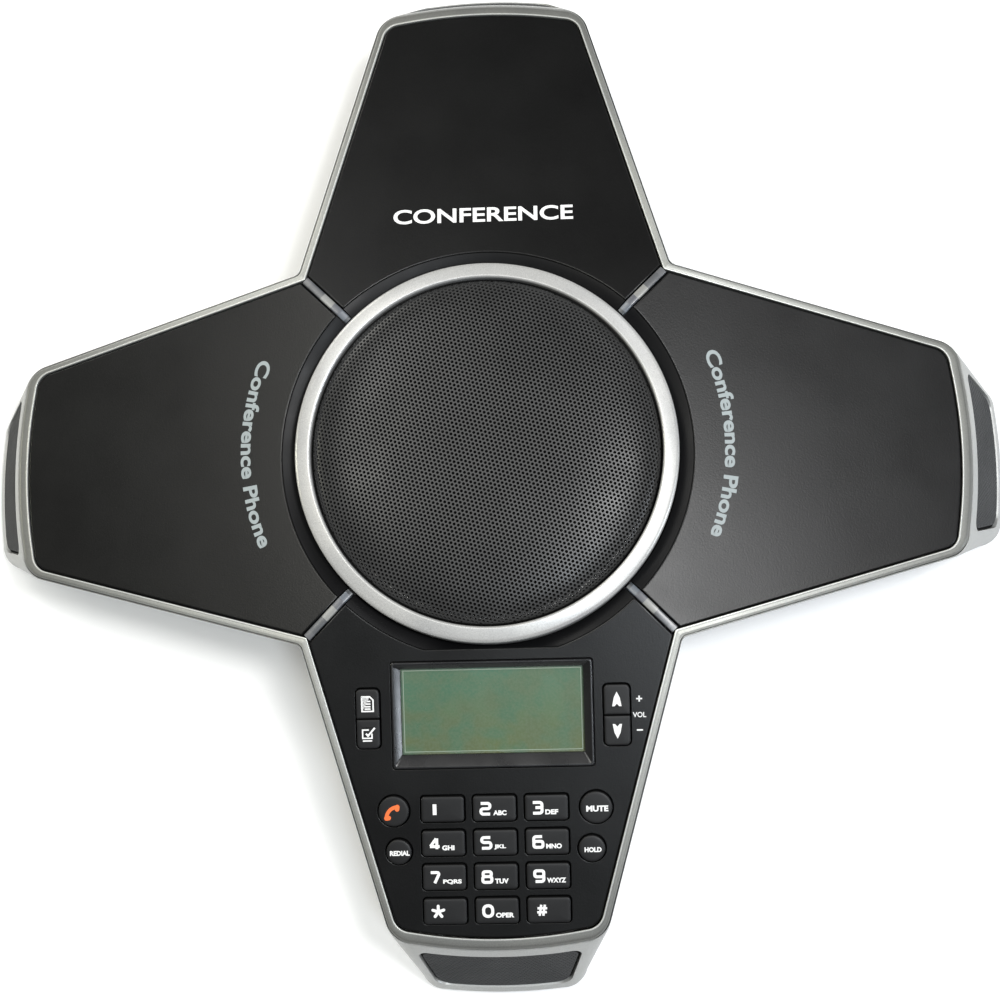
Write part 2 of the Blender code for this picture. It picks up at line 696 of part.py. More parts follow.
def build_speaker_ring_and_grille():
    """The trim ring with a skirt down into the recess, and the dome with its flange under it."""
    skirt, foot, brim = 0.0550, z(-0.0056), z(0.0010)
    ring = [(RING_INNER + 0.0004, z(RING_TOP)), (RING_OUTER - 0.0005, z(0.0034)),
            (RING_OUTER, z(0.0029)), (RING_OUTER, foot), (skirt, foot), (skirt, brim),
            (RING_INNER, brim), (RING_INNER, z(RING_TOP - 0.0004))]
    turned("speaker_trim_ring", ring, 64, BRIGHT)
    outer = [(0, DOME_TOP), (0.020, 0.0078), (0.034, 0.0072), (0.043, 0.0063), (0.0485, 0.0051),
             (0.0515, 0.0034), (0.0527, 0.0015), (0.0529, 0.0007), (0.0546, 0.0007),
             (0.0546, -0.0003)]
    inner = [(0.0519, -0.0003), (0.0517, 0.0012), (0.0506, 0.0028), (0.0480, 0.0042),
             (0.0427, 0.0053), (0.034, 0.0062), (0.020, 0.0068), (0, 0.0070)]
    profile = [(radius, z(height)) for radius, height in outer + inner]
    turned("speaker_grille", profile, 36, GRILLE)


def build_speaker_well():
    """Black recess round the ring; its outer part follows the slopes, its seat is level."""
    steps = 76

    def ring(radius, drop, sloping, front_limit=None):
        """A ring of points; front_limit cuts it off along a line in front of the display."""
        points = []
        for step in range(steps):
            angle = math.tau * step / steps
            reach = radius
            if front_limit and math.sin(angle) < 0:
                reach = min(radius, front_limit / -math.sin(angle))
            x, y = reach * math.cos(angle), reach * math.sin(angle)
            points.append((x, y, roof((x, y)) + drop if sloping else z(drop)))
        return points

    section = [
        ring(RECESS_RADIUS - GAP, -0.0004, True, RECESS_CHORD - GAP),
        ring(RECESS_RADIUS - GAP, -0.0026, True, RECESS_CHORD - GAP),
        ring(0.0655, -0.0026, True, 0.0618),
        ring(0.0655, -0.0042, True, 0.0618),
        ring(0.0604, -0.0046, True),
        ring(0.0600, -0.0080, False),
        ring(0.0505, -0.0080, False),
        ring(0.0505, -0.0059, False),
        ring(0.0586, -0.0059, False),
        ring(0.0586, -0.0026, True),
    ]
    well = loft("speaker_well", section, BLACK, closed=True)
    half = BAR_WIDTH / 2 + GAP
    for index in range(4):
        slot = box("bar_slot_%d" % index, (BAR_INNER - 0.0020, -half, z(-0.0012)),
                   (RECESS_RADIUS + 0.0072, half, z(0.0060)))
        slot.rotation_euler = (0, 0, math.pi / 4 + index * math.pi / 2)
        combine(well, slot, "DIFFERENCE")


def build_light_bars():
    """Strips on the four ridges; the inner end dips down the recess to the ring."""
    def ridge(distance):
        return NOTCH_HEIGHT - (distance / math.sqrt(2) - NOTCH) * SLOPE

    side = [(BAR_OUTER, ridge(BAR_OUTER)), (RECESS_RADIUS, ridge(RECESS_RADIUS)),
            (BAR_INNER, ridge(BAR_INNER) - 0.0012),
            (BAR_INNER, ridge(BAR_INNER) - BAR_THICKNESS - 0.0010),
            (RECESS_RADIUS, ridge(RECESS_RADIUS) - BAR_THICKNESS),
            (BAR_OUTER, ridge(BAR_OUTER) - BAR_THICKNESS)]
    for index, name in enumerate(("rear_right", "rear_left", "front_left", "front_right")):
        near = [(x, -BAR_WIDTH / 2, height) for x, height in side]
        far = [(x, BAR_WIDTH / 2, height) for x, height in side]
        bar = loft("light_bar_" + name, [near, far], LENS)
        bar.rotation_euler = (0, 0, math.pi / 4 + index * math.pi / 2)


def build_speaker():
    basket = [(0.0560, z(-0.0083)), (0.0560, z(-0.0096)), (0.0475, z(-0.0096)),
              (0.0225, z(-0.0272)), (0.0080, z(-0.0272)), (0.0080, z(-0.0260)),
              (0.0217, z(-0.0260)), (0.0458, z(-0.0090)), (0.0458, z(-0.0083))]
    turned("speaker_basket", basket, 28, STEEL)
    cone = [(0, z(-0.0140)), (0.0060, z(-0.0148)), (0.0100, z(-0.0172)), (0.0395, z(-0.0090)),
            (0.0425, z(-0.0064)), (0.0455, z(-0.0075)), (0.0496, z(-0.0075)),
            (0.0496, z(-0.0080)), (0.0455, z(-0.0080)), (0.0426, z(-0.0071)),
            (0.0398, z(-0.0097)), (0.0098, z(-0.0180)), (0.0057, z(-0.0155)), (0, z(-0.0147))]
    turned("speaker_cone", cone, 24, PAPER)
    magnet = [(0, z(-0.0275)), (0.0195, z(-0.0275)), (0.0200, z(-0.0280)), (0.0200, z(-0.0385)),
              (0.0195, z(-0.0390)), (0, z(-0.0390))]
    turned("speaker_magnet", magnet, 24, FERRITE)


# ---------------------------------------------------------------- arm ends, feet, screws, jacks
def build_end_grille(turns):
    """A thin plate that follows the end face, trimmed to the opening's outline."""
    end_top = roof((0, END_TOP_RADIUS)) + PARTING - SEAT
    run = (END_LOW_RADIUS - END_TOP_RADIUS) / (end_top - END_LOW_HEIGHT)

    def radius(height):
        return END_TOP_RADIUS + (end_top - height) * run

    top, low = 0.0400, 0.0060
    inset, thickness, half_angle, steps = 0.0004, 0.0010, math.radians(12), 10
    rows = []
    for reach, height in ((radius(top) - inset, top), (radius(low) - inset, low),
                          (radius(low) - inset - thickness, low),
                          (radius(top) - inset - thickness, top)):
        rows.append([(reach * math.sin(half_angle * (2 * step / steps - 1)),
                      -reach * math.cos(half_angle * (2 * step / steps - 1)), height)
                     for step in range(steps + 1)])
    arcs = [[row[step] for row in rows] for step in range(steps + 1)]
    plate_obj = loft("end_grille_" + ARM_NAMES[turns], arcs, GRILLE, parent=LEVELS[turns])
    combine(plate_obj, grille_prism("grille_trim_" + ARM_NAMES[turns], turns, GAP), "INTERSECT")


def build_microphone(turns):
    """A rubber block on the housing floor whose pocket holds the capsule behind the grille."""
    half_width, near, far, top = 0.0065, -0.1465, -0.1545, 0.0240
    boot = box("mic_boot_" + ARM_NAMES[turns], (-half_width, far, FLOOR + WALL + SEAT),
               (half_width, near, top), RUBBER, LEVELS[turns])
    capsule_radius, pocket_start, capsule_height = 0.0033, -0.1500, 0.0180
    pocket = cylinder("mic_pocket_" + ARM_NAMES[turns], (0, 0), capsule_radius, 0, 0.0080, None,
                      LEVELS[turns], 16)
    pocket.location = (0, pocket_start, capsule_height)
    pocket.rotation_euler = (math.pi / 2, 0, 0)
    combine(boot, pocket, "DIFFERENCE")


def build_foot(turns):
    """A round pad with a peg that plugs into the housing's floor."""
    peg_top, pad_top, edge = FLOOR + 0.0040, FLOOR - SEAT, 0.0006
    profile = [(0, peg_top), (PEG_RADIUS - edge, peg_top), (PEG_RADIUS, peg_top - edge),
               (PEG_RADIUS, pad_top), (FOOT_RADIUS - edge, pad_top), (FOOT_RADIUS, pad_top - edge),
               (FOOT_RADIUS, edge), (FOOT_RADIUS - edge, 0.0), (0, 0.0)]
    foot = turned("rubber_foot_" + ARM_NAMES[turns], profile, 20, RUBBER, LEVELS[turns])
    foot.location = (0, -FOOT_LENGTH_ALONG, 0)


def build_screw(turns):
    """A case screw, head down, with a cross slot."""
    head_top = TOWER_WEB - SEAT
    head_low = head_top - 0.0020
    tip = head_top + 0.0130
    profile = [(0, tip), (SCREW_SHANK - 0.0005, tip), (SCREW_SHANK, tip - 0.0010),
               (SCREW_SHANK, head_top), (SCREW_HEAD, head_top), (SCREW_HEAD, head_top - 0.0012),
               (SCREW_HEAD - 0.0006, head_low), (0, head_low)]
    screw = turned("case_screw_" + ARM_NAMES[turns], profile, 12, STEEL, LEVELS[turns])
    screw.location = (0, -SCREW_LENGTH_ALONG, 0)
    for index in range(2):
        cut = box("driver_slot_%s_%d" % (ARM_NAMES[turns], index),
                  (-0.0017, -0.0004, head_low - OVERCUT), (0.0017, 0.0004, head_low + 0.0012),
                  None, screw)
        cut.rotation_euler = (0, 0, index * math.pi / 2)
        combine(screw, cut, "DIFFERENCE")


def build_jacks():
    """A telephone socket with a latch notch and a power socket with a centre pin."""
    low_x, high_x = LINE_JACK_X
    line = box("line_jack", (low_x, JACK_FACE - 0.0160, JACK_FLOOR),
               (high_x, JACK_FACE, LINE_JACK_TOP), CONNECTOR)
    middle = (low_x + high_x) / 2
    mouth = box("line_mouth", (middle - 0.00485, JACK_FACE - 0.0120, JACK_FLOOR + 0.0022),
                (middle + 0.00485, JACK_FACE + 0.0010, JACK_FLOOR + 0.0089))
    combine(line, mouth, "DIFFERENCE")
    latch = box("line_latch", (middle - 0.0031, JACK_FACE - 0.0110, JACK_FLOOR + 0.0080),
                (middle + 0.0031, JACK_FACE + 0.0020, JACK_FLOOR + 0.0106))
    combine(line, latch, "DIFFERENCE")

    low_x, high_x = POWER_JACK_X
    power = box("power_jack", (low_x, JACK_FACE - 0.0140, JACK_FLOOR),
                (high_x, JACK_FACE, POWER_JACK_TOP), CONNECTOR)
    centre = Vector(((low_x + high_x) / 2, JACK_FACE, (JACK_FLOOR + POWER_JACK_TOP) / 2))
    socket = [(0.0032, 0.0090), (0.0032, -0.0020), (0.0, -0.0020), (0.0, 0.0), (0.0006, 0.0),
              (0.0011, 0.0010), (0.0011, 0.0090)]
    mouth = turned("power_mouth", socket, 20, None)
    mouth.location = centre
    mouth.rotation_euler = (math.pi / 2, 0, 0)
    combine(power, mouth, "DIFFERENCE")


# ---------------------------------------------------------------- assembly
build_housing()
build_top_frame()
for turns, panel_name in ((2, "rear_panel"), (3, "left_panel"), (1, "right_panel")):
    panel = plate(panel_name, [panel_outline()], 0, -PANEL_THICKNESS, CHARCOAL, SLOPES[turns])
    add_screw_boss(panel, turns)
keypad = plate("keypad_panel", [panel_outline(RECESS_CHORD)], 0, -PANEL_THICKNESS, CHARCOAL,
               SLOPES[0])
add_screw_boss(keypad, 0)
openings = key_openings() + [rounded_outline(grown(BEZEL, SEAT), BEZEL_CORNER + 0.0002)]
panel_cutter = prisms("panel_openings", openings, -PANEL_THICKNESS - OVERCUT, OVERCUT, SLOPES[0])
combine(keypad, panel_cutter, "DIFFERENCE")
for key_name, across, down, size in key_table():
    build_key(key_name, across, down, size)
build_display()
build_keypad_internals()
build_main_board()
build_speaker_ring_and_grille()
build_speaker_well()
build_light_bars()
build_speaker()
for turns in range(4):
    build_end_grille(turns)
    build_microphone(turns)
    build_foot(turns)
    build_screw(turns)
build_jacks()
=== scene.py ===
"""Looks of the conference speakerphone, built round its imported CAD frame.

Everything is in metres in the frame's own axes: +Z is up, the keypad arm points along -Y and the
right arm along +X. The origin is on the phone's vertical axis, at the level of the table.
"""
import json
from math import acos, atan, atan2, cos, hypot, pi, radians, sin, sqrt, tan, tau

import bmesh
import bpy
import numpy as np
from mathutils import Matrix, Vector
from mathutils.geometry import tessellate_polygon


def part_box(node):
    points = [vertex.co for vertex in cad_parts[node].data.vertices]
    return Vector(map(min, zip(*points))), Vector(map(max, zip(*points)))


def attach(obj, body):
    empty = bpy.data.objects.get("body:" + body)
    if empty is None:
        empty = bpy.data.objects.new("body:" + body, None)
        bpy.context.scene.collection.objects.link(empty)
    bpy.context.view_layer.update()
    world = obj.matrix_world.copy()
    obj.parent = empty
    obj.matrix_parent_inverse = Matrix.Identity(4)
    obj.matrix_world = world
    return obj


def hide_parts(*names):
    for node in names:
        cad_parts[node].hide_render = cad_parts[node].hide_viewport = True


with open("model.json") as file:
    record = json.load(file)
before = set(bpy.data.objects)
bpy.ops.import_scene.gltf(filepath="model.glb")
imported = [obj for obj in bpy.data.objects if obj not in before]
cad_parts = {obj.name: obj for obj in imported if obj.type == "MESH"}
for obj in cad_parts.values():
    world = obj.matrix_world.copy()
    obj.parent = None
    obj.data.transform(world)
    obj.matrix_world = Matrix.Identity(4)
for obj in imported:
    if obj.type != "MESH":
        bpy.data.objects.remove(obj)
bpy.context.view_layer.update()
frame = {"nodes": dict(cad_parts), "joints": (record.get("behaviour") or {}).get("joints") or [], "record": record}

# -------- sizes, read from the frame where it has them
SLOT_OF = {part["node"]: part["material_slot"] for part in frame["record"]["subparts"]}
SLIDE = frame["joints"][0]["axis"]              # a key slides square to the keypad panel
TILT = atan2(SLIDE[1], -SLIDE[2])
SLOPE = tan(TILT)                               # fall of each arm's panel per unit of length
ARMS = ("front", "right", "rear", "left")

RING_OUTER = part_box("speaker_trim_ring")[1].x
RING_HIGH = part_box("speaker_trim_ring")[1].z
NOTCH_HEIGHT = RING_HIGH - 0.0043               # height of the panels at the notch corners
NOTCH = 0.0550                                  # half the distance between the notch corners
TAPER = 0.2813                                  # loss of half-width per unit of arm length
PANEL_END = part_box("right_panel")[1].x - 0.0005
END_TOP_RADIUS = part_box("top_frame")[1].x
LIP_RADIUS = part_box("bottom_housing")[1].x
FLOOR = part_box("bottom_housing")[0].z
PANEL_THICKNESS, PANEL_EDGE = 0.0022, 0.00045
GAP = 0.0004                                    # parting gap between neighbouring pieces
PARTING = -0.0036                               # parting line of rim and housing, below the panels
RECESS_RADIUS = 0.0628                          # edge of the panels round the loudspeaker
RECESS_CHORD = 0.0595                           # the keypad panel cuts the recess off here
END_LOW_RADIUS, END_LOW_HEIGHT = 0.1639, 0.0090     # lower edge of the end faces
HULL_NOTCH, HULL_TAPER = 0.0538, 0.2620         # NOTCH and TAPER of the housing, low down
WALL = 0.0024                                   # of the housing
BAR_WIDTH = 0.0024
GRILLE_TOP = (0.0347, 0.0255)                   # height and half-width of the end grilles
GRILLE_BOTTOM = (0.0095, 0.0211)


# -------- shapes: rings, lofts, outlines
def between(first, last, steps):
    """Evenly spaced values with both ends."""
    return [first + (last - first) * step / steps for step in range(steps + 1)]


def on_arc(centre, radius, angles):
    return [(centre[0] + radius * cos(angle), centre[1] + radius * sin(angle)) for angle in angles]


def neighbours(points):
    """Each point of a closed line, between the one before it and the one after it."""
    points = [Vector(point) for point in points]
    return zip(points[-1:] + points[:-1], points, points[1:] + points[:1])


def softened(rings, reaches, steps=3, closed=False):
    """Round the corners that a stack of rings makes; each ring has its own reach along its sides."""
    rings = [np.array(ring, float) for ring in rings]
    result = []
    for index, (ring, reach) in enumerate(zip(rings, reaches)):
        if not reach or not (closed or 0 < index < len(rings) - 1):
            result.append(ring)
            continue
        ends = []
        for other in (rings[index - 1], rings[(index + 1) % len(rings)]):
            away = other - ring
            length = np.maximum(np.linalg.norm(away, axis=1, keepdims=True), 1e-9)
            ends.append(ring + away / length * np.minimum(reach, length * 0.48))
        result += [ends[0] * (1 - t) ** 2 + ring * (2 * t * (1 - t)) + ends[1] * t ** 2
                   for t in between(0.0, 1.0, steps)]
    return result


def loft(rings, closed=False):
    """Vertices and faces of the skin over rings of equal length, with caps unless it is closed."""
    size, count = len(rings[0]), len(rings)
    vertices = [tuple(float(value) for value in point) for ring in rings for point in ring]
    faces = []
    for row in range(count if closed else count - 1):
        here, there = row * size, (row + 1) % count * size
        faces += [(here + index, there + index, there + (index + 1) % size,
                   here + (index + 1) % size) for index in range(size)]
    if not closed:
        faces += [tuple(range(size)), tuple(reversed(range((count - 1) * size, count * size)))]
    return vertices, faces


def merged(shapes):
    """Several shapes as one list of vertices and faces."""
    vertices, faces = [], []
    for more_vertices, more_faces in shapes:
        faces += [tuple(len(vertices) + index for index in face) for face in more_faces]
        vertices += list(more_vertices)
    return vertices, faces


def moved(shape, matrix):
    vertices, faces = shape
    return [tuple(matrix @ Vector(vertex)) for vertex in vertices], faces


def turned(profile, reaches, steps=96, centre=(0.0, 0.0), closed=True, soft_steps=3):
    """A profile of (radius, height) points, turned about a vertical axis."""
    rings = [at_height(circle(centre, radius, steps), height) for radius, height in profile]
    return loft(softened(rings, reaches, soft_steps, closed), closed)


def block(low, high, reach=0.0):
    """A box; with a reach its upright edges and its top and bottom edges are rounded."""
    outline = box_outline(low, high, 0.0, reach, 4)
    base, top = at_height(outline, low[2]), at_height(outline, high[2])
    if not reach:
        return loft([base, top])
    inner = moved_in(outline, reach * 0.9)
    rings = [at_height(inner, low[2]), base, top, at_height(inner, high[2])]
    return loft(softened(rings, [0, reach, reach, 0]))


def corner_arc(before, corner, after, radius, steps):
    """Points of the arc that rounds a corner between two straight lines."""
    corner = Vector(corner)
    ways = [(Vector(point) - corner).normalized() for point in (before, after)]
    half = ways[0].angle(ways[1]) / 2
    centre = corner + (ways[0] + ways[1]).normalized() * (radius / sin(half))
    start, finish = (corner + way * (radius / tan(half)) - centre for way in ways)
    first = atan2(start.y, start.x)
    return on_arc(centre, radius, between(first, first - start.angle_signed(finish), steps))


def rounded_outline(corners, radius, steps=5):
    """A polygon with every corner rounded; radius is one value, or one for each corner."""
    radii = radius if isinstance(radius, list) else [radius] * len(corners)
    return [point for triple, one in zip(neighbours(corners), radii)
            for point in corner_arc(*triple, one, steps)]


def rectangle(left, right, low, high):
    return [(left, low), (right, low), (right, high), (left, high)]


def box_outline(low, high, margin=0.0, radius=0.0, steps=5):
    """The plan rectangle between two corners, set out by a margin and rounded by a radius."""
    corners = rectangle(low[0] - margin, high[0] + margin, low[1] - margin, high[1] + margin)
    return rounded_outline(corners, radius, steps) if radius else corners


def circle(centre, radius, steps=48):
    return on_arc(centre, radius, between(0.0, tau, steps)[:-1])


def moved_in(outline, distance):
    """A counter-clockwise outline, moved inward by a distance."""
    result = []
    for before, here, after in neighbours(outline):
        first, second = (here - before).normalized(), (after - here).normalized()
        inward = Vector((-first.y - second.y, first.x + second.x)).normalized()
        share = max(0.3, inward.dot(Vector((-second.y, second.x))))
        result.append(tuple(here + inward * (distance / share)))
    return result


def at_height(outline, height):
    return [(x, y, height) for x, y in outline]


def quarter_turn(point, turns):
    """Turn a plan point about the vertical axis, from the front arm to another arm."""
    x, y = point
    for _ in range(turns):
        x, y = -y, x
    return (x, y)


def end_corner(notch, end_radius, taper):
    """Half-width and length at which an arm's side line meets its curved end."""
    reach = notch * (1 + taper)
    square = 1 + taper * taper
    root = sqrt((reach * taper) ** 2 - square * (reach * reach - end_radius * end_radius))
    length = (reach * taper + root) / square
    return reach - taper * length, length


def mirrored(points):
    return [(-x, y) for x, y in reversed(points)]


def arm_end(left, radius, steps):
    """The front arm's curved end, between its left side and that side's mirror image."""
    first = atan2(-left[-1][0], -left[-1][1])
    angles = [first * (1 - 2 * step / steps) for step in range(1, steps)]
    end = [(-radius * sin(angle), -radius * cos(angle)) for angle in angles]
    return left + end + mirrored(left)


def cross_outline(notch, end_radius, end_fillet, notch_fillet, taper=TAPER):
    """The four-armed plan outline, counter-clockwise, with the same number of points each time."""
    width, length = end_corner(notch, end_radius, taper)
    corner, inside = Vector((-width, -length)), (-notch, -notch)
    left = corner_arc(inside, corner, corner + Vector((length, -width)) * 0.1, end_fillet, 12)
    arm = corner_arc((-length, -width), inside, corner, notch_fillet, 8) + arm_end(left, end_radius, 20)
    return [quarter_turn(point, turns) for turns in range(4) for point in arm]


def offset_notch(distance):
    """Notch position of an outline set out from the panels' edge by a distance."""
    return NOTCH + distance / (cos(atan(TAPER)) * (1 + TAPER))


def roof(point):
    """Height of the four sloping panel planes above a plan point."""
    return NOTCH_HEIGHT - (max(abs(point[0]), abs(point[1])) - NOTCH) * SLOPE


def under_roof(outline, drop):
    return [(x, y, roof((x, y)) + drop) for x, y in outline]


def slope_matrix(turns):
    """An arm's own axes on its sloping panel: -Y down the slope, Z square to it."""
    x, y = quarter_turn((0, -NOTCH), turns)
    turn = Matrix.Rotation(turns * pi / 2, 4, "Z")
    return Matrix.Translation((x, y, NOTCH_HEIGHT)) @ turn @ Matrix.Rotation(TILT, 4, "X")


def level_matrix(turns):
    return Matrix.Rotation(turns * pi / 2, 4, "Z")


def arm_box(node, above=None):
    """A CAD node's box in the keypad arm's own axes, above a height if one is given."""
    inverse = slope_matrix(0).inverted()
    points = np.array([inverse @ vertex.co for vertex in frame["nodes"][node].data.vertices])
    if above is not None:
        points = points[points[:, 2] > above]
    return points.min(axis=0), points.max(axis=0)


def cap_box(name):
    """The box of a keycap's part above the keypad panel."""
    return arm_box(name, above=0.0)


def round_outline(name, margin=0.0, steps=48):
    """A round key's outline, set out by a margin."""
    low, high = cap_box(name)
    return circle(((low + high) / 2)[:2], (high[0] - low[0]) / 2 + margin, steps)


def plate(outlines, top, bottom, edge, steps=3, hole_edge=None):
    """A flat plate from counter-clockwise outlines, the rim first and then any holes.

    Every upper edge is rounded by the edge radius, or by the holes' own.
    """
    vertices, faces, loops = [], [], [[], []]
    for number, outline in enumerate(outlines):
        if number and hole_edge:
            edge = hole_edge
        levels = [(edge * 0.3, bottom), (0.0, bottom)]
        levels += [(edge * (1 - cos(angle)), top - edge * (1 - sin(angle)))
                   for angle in between(0.0, pi / 2, steps)]
        levels.append((edge * 1.3, top))
        start, size = len(vertices), len(outline)
        for inset, height in levels:
            vertices += at_height(moved_in(outline, -inset if number else inset), height)
        last = len(vertices) - size
        for here in range(start, last, size):
            faces += [(here + index, here + (index + 1) % size, here + size + (index + 1) % size,
                       here + size + index) for index in range(size)]
        loops[0].append(range(start, start + size))
        loops[1].append(range(last, last + size))
    for level in loops:
        order = [index for loop in level for index in loop]
        polygon = [[Vector(vertices[index]) for index in loop] for loop in level]
        faces += [tuple(order[index] for index in triangle) for triangle in tessellate_polygon(polygon)]
    return vertices, faces


# -------- pieces
def smooth(data, crease=35):
    data.shade_smooth()
    data.set_sharp_from_angle(angle=radians(crease))


def linked(name, data):
    """A new object in the scene."""
    obj = bpy.data.objects.new(name, data)
    bpy.context.scene.collection.objects.link(obj)
    return obj


def make_object(name, shape, material, closed=True, crease=35):
    vertices, faces = shape
    data = bpy.data.meshes.new(name)
    data.from_pydata(vertices, [], faces)
    mesh = bmesh.new()
    mesh.from_mesh(data)
    bmesh.ops.remove_doubles(mesh, verts=mesh.verts, dist=1e-7)
    if closed:
        bmesh.ops.recalc_face_normals(mesh, faces=mesh.faces)
    mesh.to_mesh(data)
    mesh.free()
    smooth(data, crease)
    if material:
        data.materials.append(material)
    return linked(name, data)


def join_frame(obj, nodes, body="base", slot=None):
    """Let a piece ride on a body and stand for the CAD nodes it replaces."""
    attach(obj, body)
    slot or SLOT_OF[nodes[0]]
    if nodes:
        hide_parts(*nodes)
    return obj


def add_piece(name, shape, material, nodes=(), body="base", slot=None, closed=True, crease=35,
              arm=None):
    """A finished piece; a shape drawn on an arm's slope is moved to that arm."""
    if arm is not None:
        shape = moved(shape, slope_matrix(arm))
    return join_frame(make_object(name, shape, material, closed, crease), nodes, body, slot)


def evaluated_mesh(obj):
    """A new mesh of an object with its modifiers, or of a text."""
    bpy.context.view_layer.update()
    evaluated = obj.evaluated_get(bpy.context.evaluated_depsgraph_get())
    return bpy.data.meshes.new_from_object(evaluated)


def carve(obj, shape, operation):
    """Add a shape to an object's mesh or take it away, for good."""
    tool = make_object("tool", shape, None)
    modifier = obj.modifiers.new("carve", "BOOLEAN")
    modifier.operation, modifier.solver, modifier.object = operation, "EXACT", tool
    obj.data = evaluated_mesh(obj)
    obj.modifiers.clear()
    bpy.data.objects.remove(tool, do_unlink=True)
    smooth(obj.data)


# -------- materials
class Shader:
    """A Principled material whose inputs are fed by procedural nodes."""

    def __init__(self, name, colour, roughness, metallic=0.0, specular=0.5):
        self.material = bpy.data.materials.new(name)
        self.material.use_nodes = True
        self.tree = self.material.node_tree
        self.principled = self.tree.nodes["Principled BSDF"]
        self.colour = self.paint = (*colour, 1.0)
        self.feed("Base Color", self.colour).feed("Roughness", roughness)
        self.feed("Metallic", metallic).feed("Specular IOR Level", specular)
        self.position = self.add("TexCoord").outputs["Object"]

    def join(self, value, target):
        """Give a socket a value or another node's output."""
        if isinstance(value, bpy.types.NodeSocket):
            self.tree.links.new(value, target)
        else:
            target.default_value = value

    def feed(self, socket, value):
        self.join(value, self.principled.inputs[socket])
        return self

    def add(self, kind, inputs=None, **settings):
        """A new node with its settings, and its inputs by name or number."""
        node = self.tree.nodes.new("ShaderNode" + kind)
        for setting, value in settings.items():
            setattr(node, setting, value)
        for socket, value in (inputs or {}).items():
            self.join(value, node.inputs[socket])
        return node

    def noise(self, size, detail=2.0):
        """Noise whose features are about one size across, in metres."""
        return self.add("TexNoise", {"Scale": 1.0 / size, "Detail": detail,
                                     "Vector": self.position}).outputs["Fac"]

    def spread(self, factor, low, high, start=0.3, stop=0.7):
        return self.add("MapRange", {"Value": factor, "From Min": start, "From Max": stop,
                                     "To Min": low, "To Max": high}).outputs["Result"]

    def mix(self, factor, first, second):
        """Mix two colours; 6, 7 and 2 are the colour sockets of a Mix node."""
        return self.add("Mix", {0: factor, 6: first, 7: second}, data_type="RGBA").outputs[2]

    def repaint(self, colour):
        self.paint = colour
        return self.feed("Base Color", colour)

    def times(self, factor):
        """Lighten or darken the present colour by a factor."""
        return self.repaint(self.add("VectorMath", {0: self.paint, "Scale": factor},
                                     operation="SCALE").outputs["Vector"])

    def mottle(self, size, amount, tint=(1.0, 1.0, 1.0)):
        """Vary the colour softly by a share of itself, leaning towards a tint."""
        dark = [value * (1 - amount) for value in self.colour[:3]]
        light = [value * (1 + amount) * lean for value, lean in zip(self.colour, tint)]
        factor = self.spread(self.noise(size, 3.0), 0.0, 1.0)
        return self.repaint(self.mix(factor, (*dark, 1.0), (*light, 1.0)))

    def flecks(self, size, amount):
        """Fine light and dark specks over the present colour."""
        return self.times(self.spread(self.noise(size, 1.0), 1.0 - amount, 1.0 + amount))

    def fade(self, near, far, share):
        """Painted shade: darken the present colour along the arms, from one distance out to another."""
        positive = self.add("VectorMath", {0: self.position}, operation="ABSOLUTE")
        split = self.add("SeparateXYZ", {0: positive.outputs[0]}).outputs
        longest = self.add("Math", {0: split["X"], 1: split["Y"]}, operation="MAXIMUM").outputs[0]
        return self.times(self.spread(longest, 1.0, share, near, far))

    def wear(self, size, low, high):
        return self.feed("Roughness", self.spread(self.noise(size, 4.0), low, high))

    def grain(self, size, depth, strength=0.6):
        bump = self.add("Bump", {"Strength": strength, "Distance": depth, "Height": self.noise(size)})
        return self.feed("Normal", bump.outputs["Normal"])


def moulded(name, colour, roughness, grain_size=0.0004, depth=0.00002, specular=0.5):
    """Moulded plastic or rubber: soft mottling, uneven gloss and a fine grain."""
    shader = Shader(name, colour, roughness, specular=specular).mottle(0.02, 0.12)
    return shader.wear(0.012, roughness - 0.05, roughness + 0.05).grain(grain_size, depth).material


def metal(name, colour, roughness):
    shader = Shader(name, colour, roughness, 1.0).mottle(0.01, 0.08)
    return shader.wear(0.006, roughness - 0.06, roughness + 0.08).grain(0.0003, 0.000006).material


def silver_paint(name, colour, roughness, end_shade_share=1.0):
    """Metallic paint: flakes under a satin film; a share below one darkens it towards the arm ends, as painted
    shade.
    """
    shader = Shader(name, colour, roughness, 0.35)
    shader.mottle(0.03, 0.05, (1.02, 1.01, 0.98)).flecks(0.00025, 0.16)
    if end_shade_share < 1.0:
        shader.fade(NOTCH * 1.3, END_TOP_RADIUS * 0.95, end_shade_share)
    return shader.wear(0.015, roughness - 0.04, roughness + 0.05).grain(0.00045, 0.00001).material


def panel_plastic():
    """Charcoal plastic with the fine sparkle of an eroded mould."""
    shader = Shader("charcoal_grain", (0.0030, 0.0030, 0.0031), 0.32, specular=0.30)
    shader.mottle(0.035, 0.10, (1.0, 1.04, 1.02)).flecks(0.00032, 0.35)
    return shader.wear(0.02, 0.29, 0.34).grain(0.00050, 0.000022, 0.9).material


